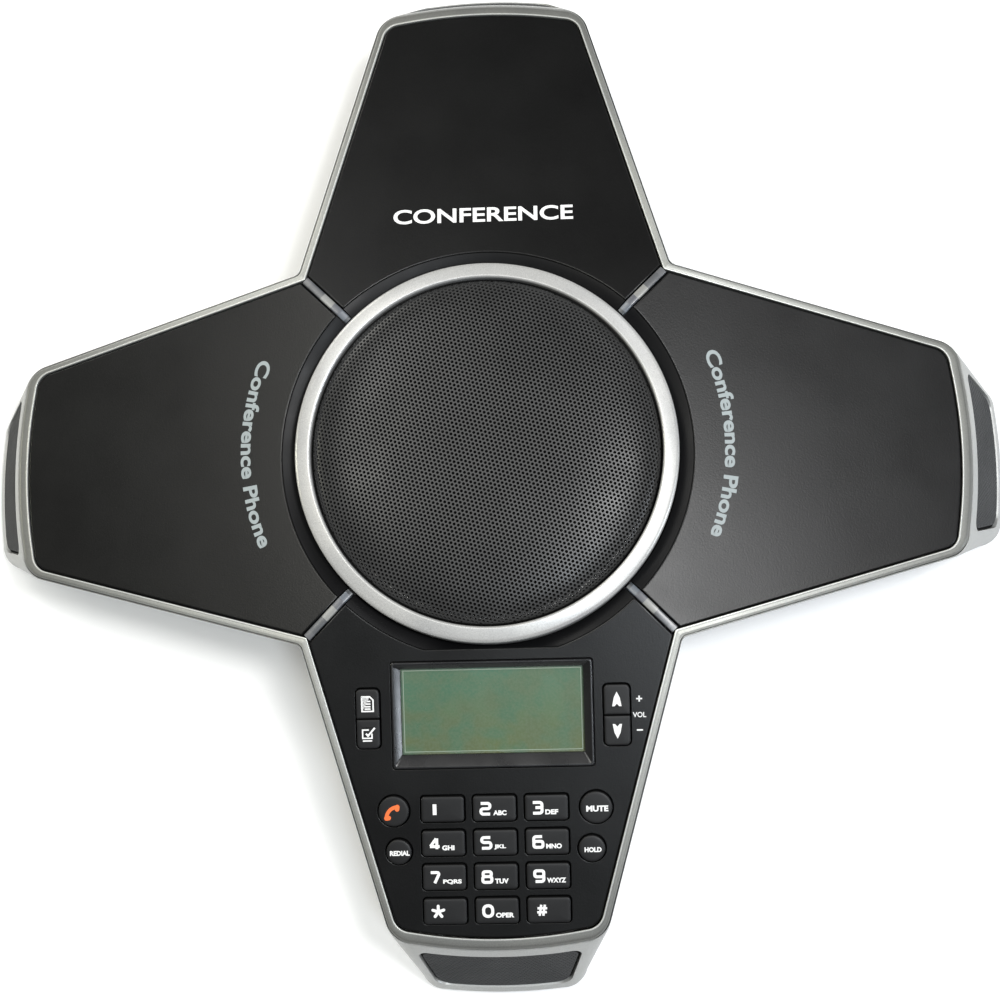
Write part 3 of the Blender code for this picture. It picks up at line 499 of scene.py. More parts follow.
def light_bar_plastic():
    """Translucent bar in steps of tone, from the rim inward to the loudspeaker; the bluish light step and the dark
    inner end, where the bar dips down the recess, are painted reflection and painted shade.
    """
    shader = Shader("light_bar_diffuser", (0.3, 0.3, 0.3), 0.34)
    flat = shader.add("VectorMath", {0: shader.position, 1: (1.0, 1.0, 0.0)}, operation="MULTIPLY")
    length = shader.add("VectorMath", {0: flat.outputs[0]}, operation="LENGTH").outputs["Value"]
    ramp = shader.add("ValToRGB", {0: shader.spread(length, 1.0, 0.0, RING_OUTER, BAR_OUTER)})
    ramp.color_ramp.interpolation = "CONSTANT"
    # the last two steps, over the recess, are painted reflection and painted shade
    tones_and_painted_shade = [(0.00, (0.115, 0.115, 0.118)), (0.10, (0.080, 0.082, 0.085)),
             (0.38, (0.25, 0.25, 0.235)), (0.61, (0.095, 0.098, 0.11)),
             (0.78, (0.12, 0.135, 0.155)), (0.91, (0.03, 0.035, 0.04))]
    for _ in tones_and_painted_shade[2:]:         # a new ramp has two
        ramp.color_ramp.elements.new(1.0)
    for element, (place, tone) in zip(ramp.color_ramp.elements, tones_and_painted_shade):
        element.position, element.color = place, (*tone, 1.0)
    smudge = shader.spread(shader.noise(0.004, 3.0), 0.0, 0.22)
    shader.repaint(shader.mix(smudge, ramp.outputs["Color"], (0.16, 0.175, 0.20, 1.0)))
    return shader.wear(0.006, 0.26, 0.36).material


def screen_glass():
    """Unlit reflective display: bluish green above, yellowish green below, softly clouded."""
    shader = Shader("display_liquid", (0.14, 0.20, 0.15), 0.38)
    height = shader.add("SeparateXYZ", {0: shader.position}).outputs["Y"]
    low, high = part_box("lcd_module")
    fall = shader.spread(height, 0.0, 1.0, low.y, high.y)
    colour = shader.mix(fall, (0.118, 0.115, 0.032, 1.0), (0.062, 0.156, 0.118, 1.0))
    for size, detail, share, start, stop, tone in (     # clouds, patches and specks
            (0.014, 2.0, 0.60, 0.42, 0.58, (0.094, 0.113, 0.062, 1.0)),
            (0.008, 2.0, 0.65, 0.45, 0.62, (0.052, 0.132, 0.088, 1.0)),
            (0.0007, 1.0, 0.38, 0.35, 0.65, (0.135, 0.160, 0.112, 1.0))):
        factor = shader.spread(shader.noise(size, detail), 0.0, share, start, stop)
        colour = shader.mix(factor, colour, tone)
    return shader.repaint(colour).wear(0.02, 0.34, 0.42).material


def clear_window():
    """A thin clear pane: see-through, with a mirror-like film that grows towards the edges."""
    shader = Shader("display_pane", (0.85, 0.9, 0.85), 0.08).wear(0.01, 0.05, 0.12)
    clear = shader.add("BsdfTransparent", {"Color": (0.97, 1.0, 0.97, 1.0)})
    gloss = shader.add("LayerWeight", {"Blend": 0.12})
    mixer = shader.add("MixShader", {0: gloss.outputs["Facing"], 1: clear.outputs[0],
                                     2: shader.principled.outputs[0]})
    shader.join(mixer.outputs[0], shader.tree.nodes["Material Output"].inputs["Surface"])
    return shader.material


def ink(name, colour):
    """Screen-printed ink with slightly uneven cover."""
    return Shader(name, colour, 0.55).mottle(0.0015, 0.04).wear(0.003, 0.5, 0.6).material


BAR_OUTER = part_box("light_bar_rear_right")[1].x * sqrt(2) - 0.0015

# the rim's silver is painted darker towards the arm ends: painted shade
SILVER = silver_paint("silver_paint", (0.39, 0.395, 0.375), 0.42, 0.42)
# a lighter copy of the rim's silver for the bead: painted highlight, with painted shade towards the arm ends
SILVER_BEAD_HIGHLIGHT = silver_paint("silver_bead_painted_highlight", (0.58, 0.59, 0.57), 0.36, 0.85)
HOUSING_SILVER = silver_paint("silver_paint_housing", (0.36, 0.365, 0.36), 0.42)
RING_SILVER = silver_paint("satin_silver_ring", (0.53, 0.53, 0.525), 0.34)
CHARCOAL = panel_plastic()
WELL_BLACK = moulded("black_recess", (0.0035, 0.0035, 0.004), 0.40, depth=0.000006, specular=0.14)
BEZEL_BLACK = moulded("display_frame_black", (0.009, 0.009, 0.010), 0.30, depth=0.000008)
KEY_BLACK = moulded("keycap_black", (0.008, 0.008, 0.0085), 0.46, 0.0003, 0.000014, 0.3)
MESH_BLACK = moulded("coated_mesh", (0.042, 0.042, 0.042), 0.36, 0.0002, 0.000004, 0.35)
# a darker copy of the mesh's black for the dome's edge at the ring: painted shade
MESH_EDGE_SHADE = moulded("coated_mesh_edge_painted_shade", (0.008, 0.008, 0.008), 0.45, 0.0002, 0.000004, 0.2)
GRILLE_BLACK = moulded("microphone_mesh", (0.066, 0.067, 0.068), 0.60, 0.0002, 0.000004, 0.02)
CLOTH_BLACK = moulded("dust_cloth", (0.004, 0.004, 0.004), 0.95, 0.0005, 0.00005, 0.1)
RUBBER = moulded("black_rubber", (0.018, 0.018, 0.018), 0.80, 0.0006, 0.00003, 0.3)
CONNECTOR = moulded("connector_black", (0.020, 0.020, 0.021), 0.42, 0.0004, 0.00001)
GREEN_BOARD = moulded("solder_mask", (0.02, 0.13, 0.05), 0.38, 0.0010, 0.00002)
CONE_PAPER = moulded("cone_pulp", (0.03, 0.03, 0.03), 0.85, 0.0008, 0.00006, 0.2)
FERRITE = moulded("ground_ferrite", (0.06, 0.06, 0.06), 0.55, 0.0005, 0.00002)
STEEL = metal("zinc_steel", (0.62, 0.62, 0.61), 0.34)
GOLD = metal("gold_contact", (0.80, 0.60, 0.26), 0.25)
LIGHT_BAR = light_bar_plastic()
SCREEN = screen_glass()
PANE = clear_window()
WHITE_INK = ink("white_ink", (0.86, 0.86, 0.85))
GREY_INK = ink("grey_ink", (0.32, 0.36, 0.365))
ORANGE_INK = ink("orange_ink", (0.86, 0.16, 0.03))
# a light line round the display stands in for the glass edge's highlight: painted highlight
DISPLAY_EDGE_HIGHLIGHT = moulded("display_edge_painted_highlight", (0.33, 0.36, 0.32), 0.35, depth=0.000004)


# -------- housing, rim and panels
def hull_outline(notch, end_radius):
    return cross_outline(notch, end_radius, 0.0080, 0.0040, HULL_TAPER)


def grille_outline(margin):
    """Outline of an end grille seen along its arm: X across and Y up, counter-clockwise."""
    top, top_half = GRILLE_TOP[0] - margin, GRILLE_TOP[1] - margin
    low, low_half = GRILLE_BOTTOM[0] + margin, GRILLE_BOTTOM[1] - margin
    corners = [(-top_half, top), (-low_half, low), (low_half, low), (top_half, top)]
    return rounded_outline(corners, [0.0032, 0.0046, 0.0046, 0.0032], 6)


def arm_cylinder(turns, along, radius, low, high):
    outline = circle(quarter_turn((0, -along), turns), radius, 32)
    return loft([at_height(outline, low), at_height(outline, high)])


def middle_along(node):
    """How far out along the front arm a node's middle is."""
    low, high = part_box(node)
    return -(low.y + high.y) / 2


def build_housing():
    """The lower shell: one painted moulding with end faces, lips, screw wells and connector bay."""
    seat, lip = PARTING - 0.0006, -0.0009       # a fine groove parts the lip from the rim
    inner = hull_outline(HULL_NOTCH - WALL * 0.82, END_LOW_RADIUS - 0.0030)
    groove = cross_outline(offset_notch(0.00292), 0.1494, 0.0087, 0.0028)
    edge = cross_outline(offset_notch(0.0031), 0.1497, 0.0090, 0.0030)
    shoulder = cross_outline(offset_notch(0.0031), END_TOP_RADIUS, 0.0095, 0.0030)
    foot = hull_outline(HULL_NOTCH, LIP_RADIUS)
    rings = [
        at_height(inner, FLOOR + WALL), at_height(inner, FLOOR + WALL + 0.0010),
        under_roof(cross_outline(offset_notch(0.0011), 0.1480, 0.0065, 0.0014), seat),
        under_roof(groove, seat), under_roof(groove, lip), under_roof(edge, lip),
        under_roof(shoulder, PARTING),
        at_height(hull_outline(HULL_NOTCH, END_LOW_RADIUS), END_LOW_HEIGHT),
        at_height(foot, 0.0056), at_height(foot, 0.0052),
        at_height(hull_outline(HULL_NOTCH - 0.0016, LIP_RADIUS - 0.0018), FLOOR),
    ]
    reaches = [0, 0, 0.0002, 0, 0.00008, 0.0003, 0.0004, 0.0007, 0.0009, 0.0006, 0]
    housing = make_object("housing_shell", loft(softened(rings, reaches, 4)), HOUSING_SILVER)

    inside = FLOOR + WALL - 0.0010
    tower_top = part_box("case_screw_front")[1].z - 0.0100
    head_top = tower_top - 0.0037
    screw_along, foot_along = middle_along("case_screw_front"), middle_along("rubber_foot_front")
    half, near, far = 0.0170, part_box("line_jack")[1].y + 0.0003, 0.0900     # the connector bay
    bay_top, bay_wall = 0.0270, 0.0020
    solid = [arm_cylinder(turns, screw_along, 0.0042, inside, tower_top) for turns in range(4)]
    solid.append(block((-half - bay_wall, near - bay_wall, inside),
                       (half + bay_wall, far + bay_wall, bay_top + bay_wall)))
    hollows = [block((-half, near, FLOOR - 0.002), (half, far, bay_top), 0.0012)]
    openings = [block((low.x - GAP, near - 0.004, low.z - GAP),
                      (high.x + GAP, near + 0.001, high.z + GAP))
                for low, high in map(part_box, ("line_jack", "power_jack"))]
    outline = grille_outline(0.0)
    prism = loft([[(x, y, z) for x, z in outline] for y in (-0.1440, -0.1720)])
    for turns in range(4):
        hollows += [arm_cylinder(turns, screw_along, 0.0032, FLOOR - 0.001, head_top),
                    arm_cylinder(turns, foot_along, 0.0028, FLOOR - 0.001, inside + 0.003),
                    moved(prism, level_matrix(turns))]
        openings.append(arm_cylinder(turns, screw_along, 0.0018, head_top - 0.001, tower_top + 0.001))
    for shapes, operation in ((solid, "UNION"), (hollows, "DIFFERENCE"), (openings, "DIFFERENCE")):
        carve(housing, merged(shapes), operation)
    join_frame(housing, ["bottom_housing"])


def build_rim():
    """The painted rim: a fine bead next to the panels, in a lighter silver that is a painted highlight, and a band
    that rolls off outside.
    """
    band_section = [    # distance from the panels, end radius, end and notch fillets, drop, softening
        (0.00098, 0.14660, 0.0061, 0.0010, -0.0010, 0),
        (0.00098, 0.14660, 0.0061, 0.0010, 0.00012, 0.00004),
        (0.00220, 0.14850, 0.0080, 0.0023, 0.00012, 0.00045),
        (0.00264, 0.14932, 0.0086, 0.0027, -0.00060, 0.00040),
        (0.00264, 0.14935, 0.0087, 0.0027, PARTING, 0),
        (0.00110, 0.14820, 0.0070, 0.0012, PARTING, 0),
        (0.00110, 0.14820, 0.0070, 0.0012, -0.0044, 0),
        (0.00060, 0.14620, 0.0059, 0.0008, -0.0044, 0),
        (0.00060, 0.14620, 0.0059, 0.0008, -0.0010, 0),
    ]
    bead_section = [
        (0.00040, 0.14600, 0.0057, 0.0006, -0.0010, 0),
        (0.00040, 0.14600, 0.0057, 0.0006, 0.00034, 0.00025),
        (0.00096, 0.14658, 0.0061, 0.0010, 0.00034, 0.00025),
        (0.00096, 0.14658, 0.0061, 0.0010, -0.0010, 0),
    ]
    for name, section, material, nodes in (("rim_frame", band_section, SILVER, ["top_frame"]),
                                           ("rim_bead", bead_section, SILVER_BEAD_HIGHLIGHT, [])):
        rings = [under_roof(cross_outline(offset_notch(out), end, fillet, notch_fillet), drop)
                 for out, end, fillet, notch_fillet, drop, _ in section]
        shape = loft(softened(rings, [row[5] for row in section], 4, closed=True), closed=True)
        add_piece(name, shape, material, nodes, slot=SLOT_OF["top_frame"], crease=50)


def panel_outline(chord=None):
    """Outline of one arm's panel on its slope, from the recess out to the curved end."""
    half_strip = (BAR_WIDTH / 2 + GAP) * sqrt(2)
    side_x = (NOTCH * (1 + TAPER) - half_strip * TAPER) / (1 + TAPER)
    inner_x = (-half_strip + sqrt(2 * RECESS_RADIUS ** 2 - half_strip ** 2)) / 2
    width, length = end_corner(NOTCH, PANEL_END, TAPER)
    corner = Vector((-width, -length))
    left = [(-inner_x, -inner_x - half_strip), (-side_x, -side_x - half_strip)]
    left += corner_arc(left[-1], corner, corner + Vector((length, -width)) * 0.1, 0.0055, 12)
    start = atan2(inner_x, inner_x + half_strip)
    stop = acos(chord / RECESS_RADIUS) if chord else 0.0
    recess = [(RECESS_RADIUS * sin(angle), -RECESS_RADIUS * cos(angle))
              for angle in between(start, stop, 16 if chord else 32)[1:]]
    plan = arm_end(left, PANEL_END, 24) + recess + mirrored(recess)[0 if chord else 1:]
    return [(x, (y + NOTCH) / cos(TILT)) for x, y in plan]


ROUND_KEYS = ("key_talk", "key_redial", "key_mute", "key_hold")
PAIRS = (("key_phonebook", "key_edit"), ("key_volume_up", "key_volume_down"))
DIGIT_KEYS = tuple("key_" + label for label in
                   ("1", "2", "3", "4", "5", "6", "7", "8", "9", "star", "0", "hash"))
KEY_CLEARANCE = 0.00035


def key_holes():
    """Outlines of the keypad panel's openings for keys and display, on its slope."""
    holes = [round_outline(name, KEY_CLEARANCE) for name in ROUND_KEYS]
    holes += [box_outline(*cap_box(name), KEY_CLEARANCE, 0.0013) for name in DIGIT_KEYS]
    holes += [box_outline(cap_box(lower)[0], cap_box(upper)[1], KEY_CLEARANCE, 0.0017)
              for upper, lower in PAIRS]
    return holes + [box_outline(*arm_box("display_bezel"), 0.0001, 0.0009)]


def build_panels():
    for turns, node in ((2, "rear_panel"), (3, "left_panel"), (1, "right_panel")):
        shape = plate([panel_outline()], 0.0, -PANEL_THICKNESS, PANEL_EDGE)
        add_piece(node + "_cover", shape, CHARCOAL, [node], arm=turns)
    outlines = [panel_outline(RECESS_CHORD)] + key_holes()
    shape = plate(outlines, 0.0, -PANEL_THICKNESS, PANEL_EDGE, hole_edge=0.0002)
    add_piece("keypad_panel_cover", shape, CHARCOAL, ["keypad_panel"], arm=0)


# -------- loudspeaker
def z(drop):
    """Height of a level given from the notch corners."""
    return NOTCH_HEIGHT + drop


def build_ring():
    profile = [(0.05385, 0.0044), (RING_OUTER - 0.0006, 0.0034), (RING_OUTER, 0.0027),
               (RING_OUTER, -0.0056), (0.0550, -0.0056), (0.0550, 0.0010), (0.05335, 0.0010),
               (0.05335, 0.0038)]
    reaches = [0.0004, 0.0006, 0.0006, 0.0003, 0.0003, 0.0003, 0.0003, 0.0005]
    shape = turned([(radius, z(drop)) for radius, drop in profile], reaches, 240, soft_steps=4)
    add_piece("loudspeaker_ring", shape, RING_SILVER, ["speaker_trim_ring"])


def build_well():
    """Black recess round the ring; its outer part follows the slopes, its seat is level."""
    edge, chord = RECESS_RADIUS - 0.00004, RECESS_CHORD - 0.00004
    wide, wide_chord = 0.0655, 0.0618
    section = [     # radius, drop, whether it slopes, distance where the front is cut straight
        (edge, -0.0004, True, chord), (edge, -0.0026, True, chord),
        (wide, -0.0026, True, wide_chord), (wide, -0.0042, True, wide_chord),
        (0.0604, -0.0046, True, None), (0.0600, -0.0080, False, None),
        (0.0505, -0.0080, False, None), (0.0505, -0.0059, False, None),
        (0.0586, -0.0059, False, None), (0.0586, -0.0026, True, None),
    ]
    rings = []
    for radius, drop, sloping, limit in section:
        ring = []
        for angle in between(0.0, tau, 288)[:-1]:
            front = limit and sin(angle) < 0
            reach = min(radius, limit / -sin(angle)) if front else radius
            ring.append((reach * cos(angle), reach * sin(angle)))
        rings.append(under_roof(ring, drop) if sloping else at_height(ring, z(drop)))
    reaches = [0.0002, 0, 0, 0, 0, 0, 0, 0, 0.0003, 0.0003]
    well = make_object("recess_ring", loft(softened(rings, reaches, 3, True), True), WELL_BLACK)
    half = BAR_WIDTH / 2 + GAP
    slot = block((0.0570, -half, z(-0.0012)), (0.0700, half, z(0.0060)))
    carve(well, merged([moved(slot, level_matrix(index + 0.5)) for index in range(4)]), "DIFFERENCE")
    join_frame(well, ["speaker_well"])


def build_light_bars():
    """Diffuser strips on the four ridges; the inner end dips down the recess to the ring."""
    def ridge(distance):
        return roof((distance / sqrt(2), 0.0))

    half, edge, inner = BAR_WIDTH / 2, 0.0004, 0.0590
    spine = [       # distance from the axis, height, thickness
        (BAR_OUTER + 0.0003, ridge(BAR_OUTER), 0.0020),
        (RECESS_RADIUS + 0.0006, ridge(RECESS_RADIUS), 0.0020),
        (RECESS_RADIUS - 0.0006, ridge(RECESS_RADIUS) - 0.0002, 0.0020),
        (inner, ridge(inner) - 0.0012, 0.0018),
    ]
    rings = []
    for along, top, thickness in spine:
        section = rectangle(-half, half, top - thickness, top)
        outline = rounded_outline(section, [0.0002, 0.0002, edge, edge], 3)
        rings.append([(along, y, height) for y, height in outline])
    for index, name in enumerate(("rear_right", "rear_left", "front_left", "front_right")):
        node = "light_bar_" + name
        add_piece(node + "_diffuser", moved(loft(rings), level_matrix(index + 0.5)), LIGHT_BAR, [node])


DOME_EDGE = 0.0529                  # radius at which the dome meets its flange
DOME_BASE = 0.0007                  # height of that edge above the notch corners
DOME_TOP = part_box("speaker_grille")[1].z - NOTCH_HEIGHT
HOLE_PITCH = 0.00130
HOLE_RADIUS = 0.00049
HOLE_NARROW = 0.00009               # the holes are tapered by this much
HOLE_SIDES = 8
SHEET = 0.00045                     # thickness of the perforated sheet
LATTICE_TURN = radians(43)


def dome_height(radius):
    """Height of the dome above the notch corners: flat in the middle with a rounded shoulder."""
    share = np.clip(np.asarray(radius) / DOME_EDGE, 0, 1)
    return DOME_BASE + (DOME_TOP - DOME_BASE) * (1 - share ** 3.3) ** 0.4


def perforated(inside, covered, hole_radius, depth, turn, extent):
    """A flat sheet of hexagonal cells on a turned lattice, out to about an extent.

    A cell whose centre is inside has a hole with walls down to the depth; one that is only
    covered is plain.
    """
    def ring(radius, sides, height):
        angles = between(pi / 6 + turn, pi / 6 + turn + tau, sides)[:-1]
        return at_height(on_arc((0.0, 0.0), radius, angles), height)

    sides = HOLE_SIDES
    local = np.array(ring(HOLE_PITCH / sqrt(3), 6, 0.0) + ring(hole_radius, sides, 0.0)
                     + ring(hole_radius - HOLE_NARROW, sides, -depth))
    holed_faces = []
    outer = inner = 0
    while outer < 6 or inner < sides:
        first, second = outer % 6, inner % sides
        if inner * 6 <= outer * sides and inner < sides:
            holed_faces.append((first, 6 + (second + 1) % sides, 6 + second))
            inner += 1
        else:
            holed_faces.append((first, (first + 1) % 6, 6 + second))
            outer += 1
    holed_faces += [(6 + k, 6 + (k + 1) % sides, 6 + sides + (k + 1) % sides, 6 + sides + k)
                    for k in range(sides)]
    reach = int(extent / HOLE_PITCH * 1.3) + 2
    along = HOLE_PITCH * np.array([cos(turn), sin(turn), 0.0])
    across = HOLE_PITCH * sqrt(3) / 2 * np.array([-sin(turn), cos(turn), 0.0])
    vertices, faces = [], []
    for row in range(-reach, reach + 1):
        for column in range(-reach, reach + 1):
            centre = (column + row / 2) * along + row * across
            if not covered(*centre[:2]):
                continue
            start, holed = len(vertices), inside(*centre[:2])
            vertices += (local[:None if holed else 6] + centre).tolist()
            faces += [tuple(start + index for index in face)
                      for face in (holed_faces if holed else [range(6)])]
    return vertices, faces


def build_dome():
    """Pressed steel dome: round holes in rows, carried over the shoulder, with a plain rolled edge in a darker
    copy of the mesh's black, painted shade where the dome meets the ring.
    """
    radii = np.linspace(0.0, DOME_EDGE, 4000)
    heights = dome_height(radii)
    steps = np.hypot(np.diff(radii), np.diff(heights))
    lengths = np.concatenate([[0.0], np.cumsum(steps)])
    slopes = np.gradient(heights, radii)
    border = 0.05255
    border_length = np.interp(border, radii, lengths)

    def place(flat):
        flat = np.array(flat)
        length = np.hypot(flat[:, 0], flat[:, 1])
        radius = np.interp(length, lengths, radii)
        slope = np.interp(radius, radii[:-2], slopes[:-2])
        tilt = np.sqrt(1 + slope ** 2)
        out = radius - flat[:, 2] * slope / tilt
        scale = out / np.maximum(length, 1e-9)
        return np.stack([flat[:, 0] * scale, flat[:, 1] * scale,
                         z(dome_height(radius)) + flat[:, 2] / tilt], axis=1).tolist()

    vertices, faces = perforated(lambda x, y: hypot(x, y) < border_length - 0.0001,
                                 lambda x, y: hypot(x, y) < border_length + HOLE_PITCH * 0.35,
                                 HOLE_RADIUS, SHEET, LATTICE_TURN, border_length)
    add_piece("loudspeaker_mesh", (place(vertices), faces), MESH_BLACK, ["speaker_grille"],
              closed=False, crease=50)
    lift, flange, throat = 0.00003, 0.0546, 0.0519
    edge = [(radius + lift, float(dome_height(radius)) + lift)
            for radius in np.linspace(border, DOME_EDGE - 0.00002, 8)]
    edge += [(DOME_EDGE + 0.0001, 0.0002), (flange, 0.0002), (flange, -0.0003),
             (throat, -0.0003), (throat, 0.0016)]
    cloth = [(radius, float(dome_height(radius)) - 0.0011) for radius in np.linspace(0.0502, 0.0, 24)]
    cloth += [(radius, drop - 0.0004) for radius, drop in reversed(cloth)]
    for name, profile, material, sides in (("loudspeaker_mesh_edge", edge, MESH_EDGE_SHADE, 240),
                                           ("dust_cloth_disc", cloth, CLOTH_BLACK, 96)):
        shape = turned([(radius, z(drop)) for radius, drop in profile], [0] * len(profile), sides)
        add_piece(name, shape, material, slot=SLOT_OF["speaker_grille"])


# -------- arm ends
def build_end_grilles():
    """Perforated sheets bent round the arm ends, with black cloth behind them."""
    end_top = roof((0, END_TOP_RADIUS)) + PARTING
    run = (END_LOW_RADIUS - END_TOP_RADIUS) / (end_top - END_LOW_HEIGHT)
    inset = 0.0003

    def place(flat):
        points = []
        for across, up, depth in flat:
            radius = END_TOP_RADIUS + (end_top - up) * run - inset + depth
            points.append((across, -sqrt(radius * radius - across * across), up))
        return points

    sheet, plain = grille_outline(0.0010), grille_outline(0.0014)
    middle = (GRILLE_TOP[0] + GRILLE_BOTTOM[0]) / 2
    sides = [(point, after - point) for _, point, after in neighbours(plain)]

    def inside(x, y):
        return all(side.x * (y + middle - point.y) >= side.y * (x - point.x) for point, side in sides)

    cells, faces = perforated(inside, lambda x, y: True, 0.00044, 0.0003, 0.0, 0.030)
    data = bpy.data.meshes.new("flat_grille")
    data.from_pydata([(x, y + middle, depth) for x, y, depth in cells], [], faces)
    mesh = bmesh.new()
    mesh.from_mesh(data)
    bmesh.ops.remove_doubles(mesh, verts=mesh.verts, dist=1e-7)
    for _, point, after in neighbours(sheet):
        side = after - point
        if side.length > 1e-6:
            bmesh.ops.bisect_plane(mesh, geom=mesh.verts[:] + mesh.edges[:] + mesh.faces[:],
                                   plane_co=(*point, 0), plane_no=(side.y, -side.x, 0),
                                   clear_outer=True)
    mesh.to_mesh(data)
    mesh.free()
    vertices = place([tuple(vertex.co) for vertex in data.vertices])
    faces = [tuple(polygon.vertices) for polygon in data.polygons]
    bpy.data.meshes.remove(data)
    backing = loft([place(at_height(grille_outline(0.0002), depth)) for depth in (-0.0007, -0.0014)])
    for turns, arm in enumerate(ARMS):
        node, turn = "end_grille_" + arm, level_matrix(turns)
        add_piece("microphone_mesh_" + arm, moved((vertices, faces), turn), GRILLE_BLACK, [node],
                  closed=False, crease=50)
        add_piece("microphone_cloth_" + arm, moved(backing, turn), CLOTH_BLACK, slot=SLOT_OF[node])


# -------- keypad
def add_cap(name, outline, crown=0.0001, edge=0.0004):
    """A keycap: straight sides, softened upper edge and a faintly crowned top."""
    bottom, top = arm_box("key_1")[0][2], cap_box(name)[1][2] - crown
    inner = moved_in(outline, edge * 2.2)
    centre = np.mean(np.array(inner), axis=0)
    middle = [tuple(centre + (np.array(point) - centre) * 0.5) for point in inner]
    rings = [at_height(outline, bottom), at_height(outline, top), at_height(inner, top + crown * 0.6),
             at_height(middle, top + crown)]
    shape = loft(softened(rings, [0, edge, 0.0002, 0], 4))
    add_piece(name + "_cap", shape, KEY_BLACK, [name], body=name, arm=0)


def build_keys():
    for name in ROUND_KEYS:
        add_cap(name, round_outline(name, 0.0, 56), 0.00012)
    for name in DIGIT_KEYS:
        add_cap(name, box_outline(*cap_box(name), 0.0, 0.0010, 6))
    for upper, lower in PAIRS:      # nearly square where the two keys meet
        for name, radii in ((upper, [0.0003, 0.0003, 0.0014, 0.0014]),
                            (lower, [0.0014, 0.0014, 0.0003, 0.0003])):
            add_cap(name, box_outline(*cap_box(name), 0.0, radii, 6), edge=0.0003)


# -------- printed marks
PRINT = 0.00003                     # how far ink stands above its surface
INK, INK_EDGE = 0.00008, 0.00001    # its thickness and the softening of its edges
LEVEL = 0.000002                    # step in height between strokes that cross
BOLD = 0.045                        # extra weight of the small letters


def raised(outlines, top):
    """Thin solids over plan outlines, with their upper faces at one height."""
    return merged([plate([outline], top, top - INK, INK_EDGE, 1) for outline in outlines])


def band(points, width, round_ends=False):
    """Outline of an even stroke along a path, counter-clockwise."""
    path = [Vector(point) for point in points]
    ways = [(after - here).normalized() for here, after in zip(path, path[1:])]
    left, right = [], []
    for here, first, second in zip(path, ways[:1] + ways, ways + ways[-1:]):
        across = Vector((-first.y - second.y, first.x + second.x)).normalized()
        share = max(0.4, across.dot(Vector((-second.y, second.x))))
        left.insert(0, tuple(here + across * (width / 2 / share)))
        right.append(tuple(here - across * (width / 2 / share)))
    ends = [[], []]
    if round_ends:
        for end, centre, way in zip(ends, (path[-1], path[0]), (ways[-1], -ways[0])):
            angle = atan2(way.y, way.x)
            angles = between(angle - pi / 2, angle + pi / 2, 6)
            end.extend(on_arc(centre, width / 2, angles[1:-1]))
    return right + ends[0] + left + ends[1]


def rounded_path(points, radius):
    """An open path with its inner corners rounded."""
    path = points[:1]
    for before, corner, after in zip(points, points[1:], points[2:]):
        path += corner_arc(before, corner, after, radius, 5)
    return path + points[-1:]


DIGIT_STROKES = {       # open strokes of wide, square digits in a unit box
    "1": [(0.40, 1.0), (0.40, 0.0)],
    "2": [(0.0, 1.0), (1.0, 1.0), (1.0, 0.50), (0.0, 0.50), (0.0, 0.0), (1.0, 0.0)],
    "3": [(0.0, 1.0), (1.0, 1.0), (1.0, 0.0), (0.0, 0.0)],
    "5": [(0.95, 1.0), (0.0, 1.0), (0.0, 0.54), (1.0, 0.54), (1.0, 0.0), (0.0, 0.0)],
    "6": [(0.92, 1.0), (0.0, 1.0), (0.0, 0.50)],
    "7": [(0.0, 1.0), (1.0, 1.0), (0.42, 0.0)],
    "9": [(0.08, 0.0), (1.0, 0.0), (1.0, 0.50)],
}
DIGIT_BARS = {          # straight strokes that join them
    "3": [((0.28, 0.52), (0.95, 0.52))],
    "4": [((0.76, 1.0), (0.76, 0.0)), ((0.0, 0.24), (1.06, 0.24)), ((0.06, 0.26), (0.70, 0.98))],
    "hash": [((0.24, 0.0), (0.42, 1.0)), ((0.60, 0.0), (0.78, 1.0)), ((0.04, 0.68), (1.0, 0.68)),
             ((0.0, 0.32), (0.96, 0.32))],
}
DIGIT_LOOPS = {         # closed strokes, as a lower left and an upper right corner
    "6": [((0.0, 0.0), (1.0, 0.56))],
    "8": [((0.0, 0.0), (1.0, 0.54)), ((0.05, 0.54), (0.95, 1.0))],
    "9": [((0.0, 0.44), (1.0, 1.0))],
    "0": [((0.0, 0.0), (1.0, 1.0))],
}
LETTERS_OF = {          # letters beside a digit, and their width
    "2": ("ABC", 0.0040), "3": ("DEF", 0.0039), "4": ("GHI", 0.0037), "5": ("JKL", 0.0036),
    "6": ("MNO", 0.0047), "7": ("PQRS", 0.0056), "8": ("TUV", 0.0041), "9": ("WXYZ", 0.0057),
    "0": ("OPER", 0.0055),
}


def digit_shape(label, centre, width, height, weight, top):
    """Even strokes of a digit, star or hash sign round a centre, each at its own fine level."""
    if label == "hash":
        width, height = width * 1.08, height * 1.02
    across, up = width - weight, height - weight

    def spot(x, y):
        return centre[0] - across / 2 + x * across, centre[1] - up / 2 + y * up

    outlines = []
    if label == "star":
        tips = on_arc(centre, height * 0.42, between(pi / 2, pi * 2.5, 5)[:-1])
        outlines += [[band([centre, tip], weight, True)] for tip in tips]
    if label in DIGIT_STROKES:
        path = rounded_path([spot(*point) for point in DIGIT_STROKES[label]],
                            0.0007 if label in "23569" else 0.0005)
        outlines.append([band(path, weight * (1.3 if label == "1" else 1.0))])
    for bar in DIGIT_BARS.get(label, []):
        outlines.append([band([spot(*end) for end in bar], weight * (0.8 if label == "hash" else 1.0))])
    for low, high in DIGIT_LOOPS.get(label, []):
        radii = (0.0016, 0.0009) if label == "0" else (0.0010, 0.0003)
        outlines.append([box_outline(spot(*low), spot(*high), margin, radius)
                         for margin, radius in zip((weight / 2, -weight / 2), radii)])
    return merged([plate(loops, top - LEVEL * level, top - INK, INK_EDGE, 1)
                   for level, loops in enumerate(outlines)])


